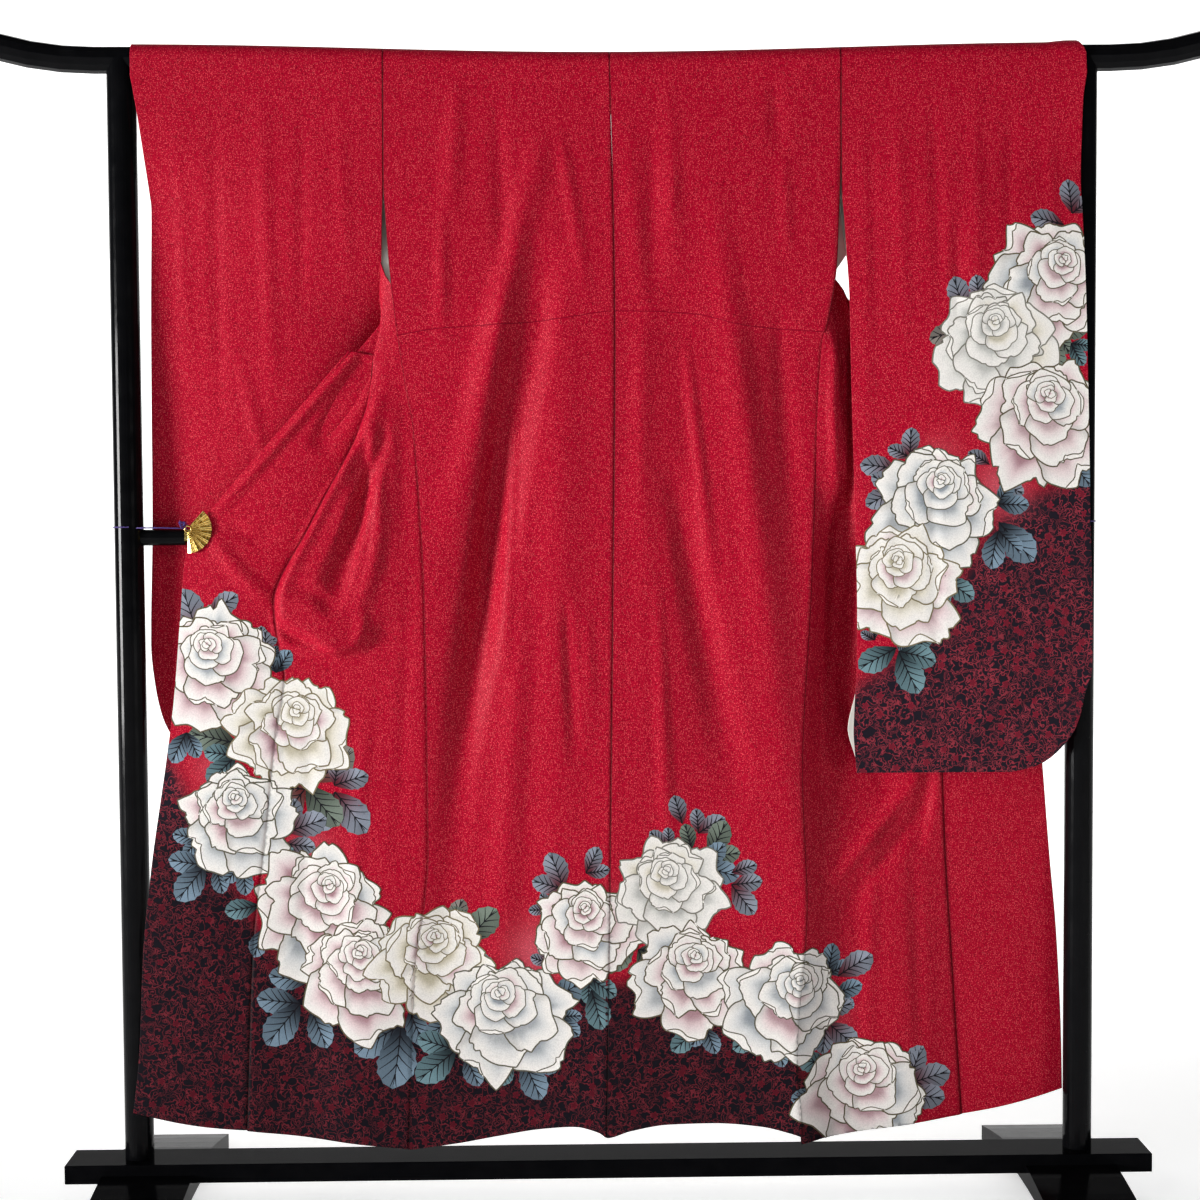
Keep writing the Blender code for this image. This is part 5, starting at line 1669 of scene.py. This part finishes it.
def area_light(name, at, aim, size, power, spread):
    """Soft rectangular light aimed at a point."""
    data = bpy.data.lights.new(name, "AREA")
    data.shape = "RECTANGLE"
    data.size, data.size_y = size
    data.energy = power
    data.spread = math.radians(spread)
    light = add_object(name, data)
    light.location = at
    light.rotation_euler = (Vector(aim) - Vector(at)).to_track_quat("-Z", "Y").to_euler()


def make_stage():
    """Pale floor that rises behind into a pale wall, lights and pale surroundings."""
    mat, shader, tree = new_material("studio_paper", 0.85)
    feed(tree, shader, {"Base Color": (PAPER_GREY, PAPER_GREY, PAPER_GREY, 1.0)})
    feed(tree, shader, {"Emission Color": (1.0, 1.0, 1.0, 1.0), "Emission Strength": PAPER_GLOW})
    profile = [(-PAPER_REACH, 0.0)]
    for n in range(CURVE_STEPS + 1):
        angle = math.pi / 2 * n / CURVE_STEPS
        profile.append((WALL_Y - WALL_CURVE * (1 - math.sin(angle)), WALL_CURVE * (1 - math.cos(angle))))
    profile.append((WALL_Y, WALL_TOP))
    points = [(x, y, z - PAPER_DROP) for y, z in profile for x in (-PAPER_REACH, PAPER_REACH)]
    faces = [(2 * n, 2 * n + 1, 2 * n + 3, 2 * n + 2) for n in range(len(profile) - 1)]
    mesh = bpy.data.meshes.new("paper_sweep")
    mesh.from_pydata(points, [], faces)
    mesh.materials.append(mat)
    mesh.shade_smooth()
    add_object("paper_sweep", mesh)
    world = bpy.data.worlds.new("pale_room")
    world.use_nodes = True
    room = world.node_tree.nodes["Background"]
    feed(world.node_tree, room, {"Color": (1.0, 1.0, 1.0, 1.0), "Strength": WORLD_LIGHT})
    bpy.context.scene.world = world
    for light in LIGHTS:
        area_light(*light)
    bpy.context.scene.view_settings.view_transform = "Standard"


place_camera()
make_stage()
bodies = {word: build_body(side, word) for side, word in SIDES}
okumi = {word: build_okumi(side, word) for side, word in SIDES}
sleeves = {word: build_sleeve(side, word) for side, word in SIDES}
collar = build_collar()

# Print on each panel

ROSES = (
    # x, z, radius, tint, turn, seed, lean
    (-557, 790, 78, "pink", 0.2, 1, 110), (-450, 697, 76, "cream", 0.9, 2, 70),
    (-525, 574, 70, "blue", 2.1, 3, 100), (-408, 444, 84, "pink", 1.3, 4, 70),
    (-355, 350, 76, "pink", 0.6, 5, 90), (-252, 371, 74, "cream", 2.6, 6, 80),
    (-152, 285, 84, "blue", 0.1, 7, 100), (-34, 410, 72, "pink", 1.7, 8, 90),
    (84, 461, 74, "white", 0.4, 9, 95), (118, 338, 76, "pink", 2.3, 10, 80),
    (258, 303, 80, "blue", 1.1, 11, 60), (370, 164, 82, "pink", 0.7, 12, 100),
)
SLEEVE_ROSES = (
    (628, 1326, 76, "pink", 0.3, 13, 60), (546, 1236, 78, "white", 1.4, 14, 90),
    (618, 1133, 82, "pink", 2.0, 15, 80), (464, 1014, 80, "blue", 0.8, 16, 75),
    (413, 901, 78, "cream", 1.9, 17, 95),
)
ROSE_SIZE = 1.06
LEAF_SIZE = 1.13
SECOND_LEAF_SIZE = 0.82
SECOND_LEAF_TURN = 57
# Painted shade: a darker red laid along the tuck's fold
TUCK_PAINTED_SHADE = (0.230, 0.0010, 0.014)
TUCK_WIDTH = 1.3
TUCK_POINTS = 120
SEWN_PANELS = ("back_left", "back_right", "front_left", "front_right")
# Painted shade: print colours cut off at a sewn panel's edge are darkened by this factor
SEWN_EDGE_PAINTED_SHADE = 0.4
LIFT = 0.30
LIFT_STEP = 0.06
RAY_FROM = 300.0


def on_cloth(panel, x, z, lift):
    """Point of a panel's outer face at x and z, raised a little, or None off its edge."""
    tree, facing = SURFACES[panel]
    place, normal, _, _ = tree.ray_cast(Vector((x, facing * RAY_FROM, z)), Vector((0, -facing, 0)))
    if place is None:
        return None
    if normal.y * facing < 0:
        normal = -normal
    return place + normal * (SILK / 2 + lift)


def edge_between(panel, inside, outside, lift):
    """Share of the way from a point on the panel to one off it where it ends, and the last point on it."""
    low = 0.0
    high = 1.0
    last = on_cloth(panel, *inside, lift)
    for _ in range(9):
        half = (low + high) / 2
        place = on_cloth(panel, *(inside + (outside - inside) * half), lift)
        if place is None:
            high = half
        else:
            low = half
            last = place
    return low, last


def stack_levels(motifs):
    """Level of each motif above the cloth: one more than the highest motif before it that it may cover."""
    boxes = []
    for points, tris, _ in motifs:
        corners = points[tris].reshape(-1, 2)
        boxes.append((corners.min(0), corners.max(0)))
    levels = []
    for low, high in boxes:
        under = [level for level, (other_low, other_high) in zip(levels, boxes)
                 if np.all(other_low < high) and np.all(low < other_high)]
        levels.append(max(under, default=-1) + 1)
    return levels


def lay_motif(panel, points, tris, colours, lift, places):
    """Faces and corner colours of one flat motif on a panel, cut off at its edges. Adds to places. On a sewn
    panel the colours at the cut are darkened: painted shade of the seam's furrow.
    """
    painted_seam_shade = SEWN_EDGE_PAINTED_SHADE if panel in SEWN_PANELS else 1.0
    held = [on_cloth(panel, point[0], point[1], lift) for point in points]
    if all(place is None for place in held):
        return [], []
    index = {}
    shares = {}
    faces = []
    paints = []
    for tri, colour in zip(tris, colours):
        inside = [held[corner] is not None for corner in tri]
        if not any(inside):
            continue
        face = []
        for k in range(3):
            following = (k + 1) % 3
            if inside[k]:
                if tri[k] not in index:
                    index[tri[k]] = len(places)
                    places.append(held[tri[k]])
                face.append(index[tri[k]])
                paints.append(colour[k])
            if inside[k] != inside[following]:
                key = (tri[k], tri[following]) if inside[k] else (tri[following], tri[k])
                if key not in index:
                    shares[key], place = edge_between(panel, points[key[0]], points[key[1]], lift)
                    index[key] = len(places)
                    places.append(place)
                share = shares[key] if inside[k] else 1 - shares[key]
                face.append(index[key])
                paints.append(blend(colour[k], colour[following], share) * painted_seam_shade)
        faces.append(face)
    return faces, paints


def lay_print(name, panel, motifs):
    """Lay flat motifs on a panel as one mesh with its own corner colours."""
    places = []
    faces = []
    paints = []
    for level, motif in zip(stack_levels(motifs), motifs):
        motif_faces, motif_paints = lay_motif(panel, *motif, LIFT + LIFT_STEP * level, places)
        faces += motif_faces
        paints += motif_paints
    if not faces:
        return None
    if SURFACES[panel][1] > 0:
        start = 0
        for number, face in enumerate(faces):
            paints[start:start + len(face)] = paints[start:start + len(face)][::-1]
            start += len(face)
            faces[number] = face[::-1]
    mesh = bpy.data.meshes.new(name)
    mesh.from_pydata([tuple(value * MM for value in place) for place in places], [], faces)
    mesh.materials.append(PRINT_MATERIAL)
    mesh.shade_smooth()
    obj = add_piece(name, mesh)
    colour = mesh.color_attributes.new("print", "FLOAT_COLOR", "CORNER")
    values = np.ones((len(paints), 4), np.float32)
    values[:, :3] = np.clip(np.array(paints), 0, 1)
    colour.data.foreach_set("color", values.ravel())
    return obj


def print_flats(leaves, roses):
    """Flat motifs from the lowest leaf to the topmost rose."""
    flats = []
    for seed, (x, z, long, bearing, ground) in enumerate(leaves):
        long = LEAF_SIZE * long
        if seed % 3 != 1:
            turned = bearing + (SECOND_LEAF_TURN if seed % 2 else -SECOND_LEAF_TURN)
            flats.append(flatten(leaf(x, z, SECOND_LEAF_SIZE * long, turned, ground, seed + 500)))
        flats.append(flatten(leaf(x, z, long, bearing, ground, seed)))
    for x, z, radius, tint, turn, seed, lean in roses:
        flats.append(flatten(rose(x, z, ROSE_SIZE * radius, tint, turn, seed, lean)))
    return flats


body_flats = print_flats(BODY_LEAVES, ROSES)
sleeve_flats = print_flats(SLEEVE_LEAVES, SLEEVE_ROSES)
mirrored_flats = [
    (points * (-1, 1), tris[:, ::-1], colours[:, ::-1]) for points, tris, colours in sleeve_flats
]
# Painted shade: a thin dark strip along the tuck on each back panel
tuck_at = np.linspace(TUCK_LINE[0][0], TUCK_LINE[-1][0], TUCK_POINTS)
tuck_shade_strip = strip(np.stack([tuck_at, look_up(TUCK_LINE, tuck_at)[0]], -1), TUCK_WIDTH, TUCK_WIDTH)
tuck_shade_flats = [flatten([(tuck_shade_strip, flat_colour(TUCK_PAINTED_SHADE))])]
prints = {panel: lay_print("print_" + panel, panel, body_flats) for panel in SEWN_PANELS + ("okumi_left",)}
for _, word in SIDES:
    prints["tuck_" + word] = lay_print("tuck_shade_strip_" + word, "back_" + word, tuck_shade_flats)
prints["sleeve_right"] = lay_print("print_sleeve_right", "sleeve_right", sleeve_flats)
prints["sleeve_far_left"] = lay_print("print_sleeve_left", "sleeve_far_left", mirrored_flats)

paint_cad(LACQUER_MATERIAL, "top_bar", "post_left", "post_right", "peg_arm_left", "peg_arm_right")
# The rail and feet take the lacquer copy with painted shade
paint_cad(SHADED_LACQUER_MATERIAL, "bottom_rail", "foot_left", "foot_right")
paint_cad(GOLD_MATERIAL, "clip_fan_left", "clip_fan_right", "clip_jaw_left", "clip_jaw_right")
for side, word in SIDES:
    build_cord(side, word)
    build_fan_trim(side, word)
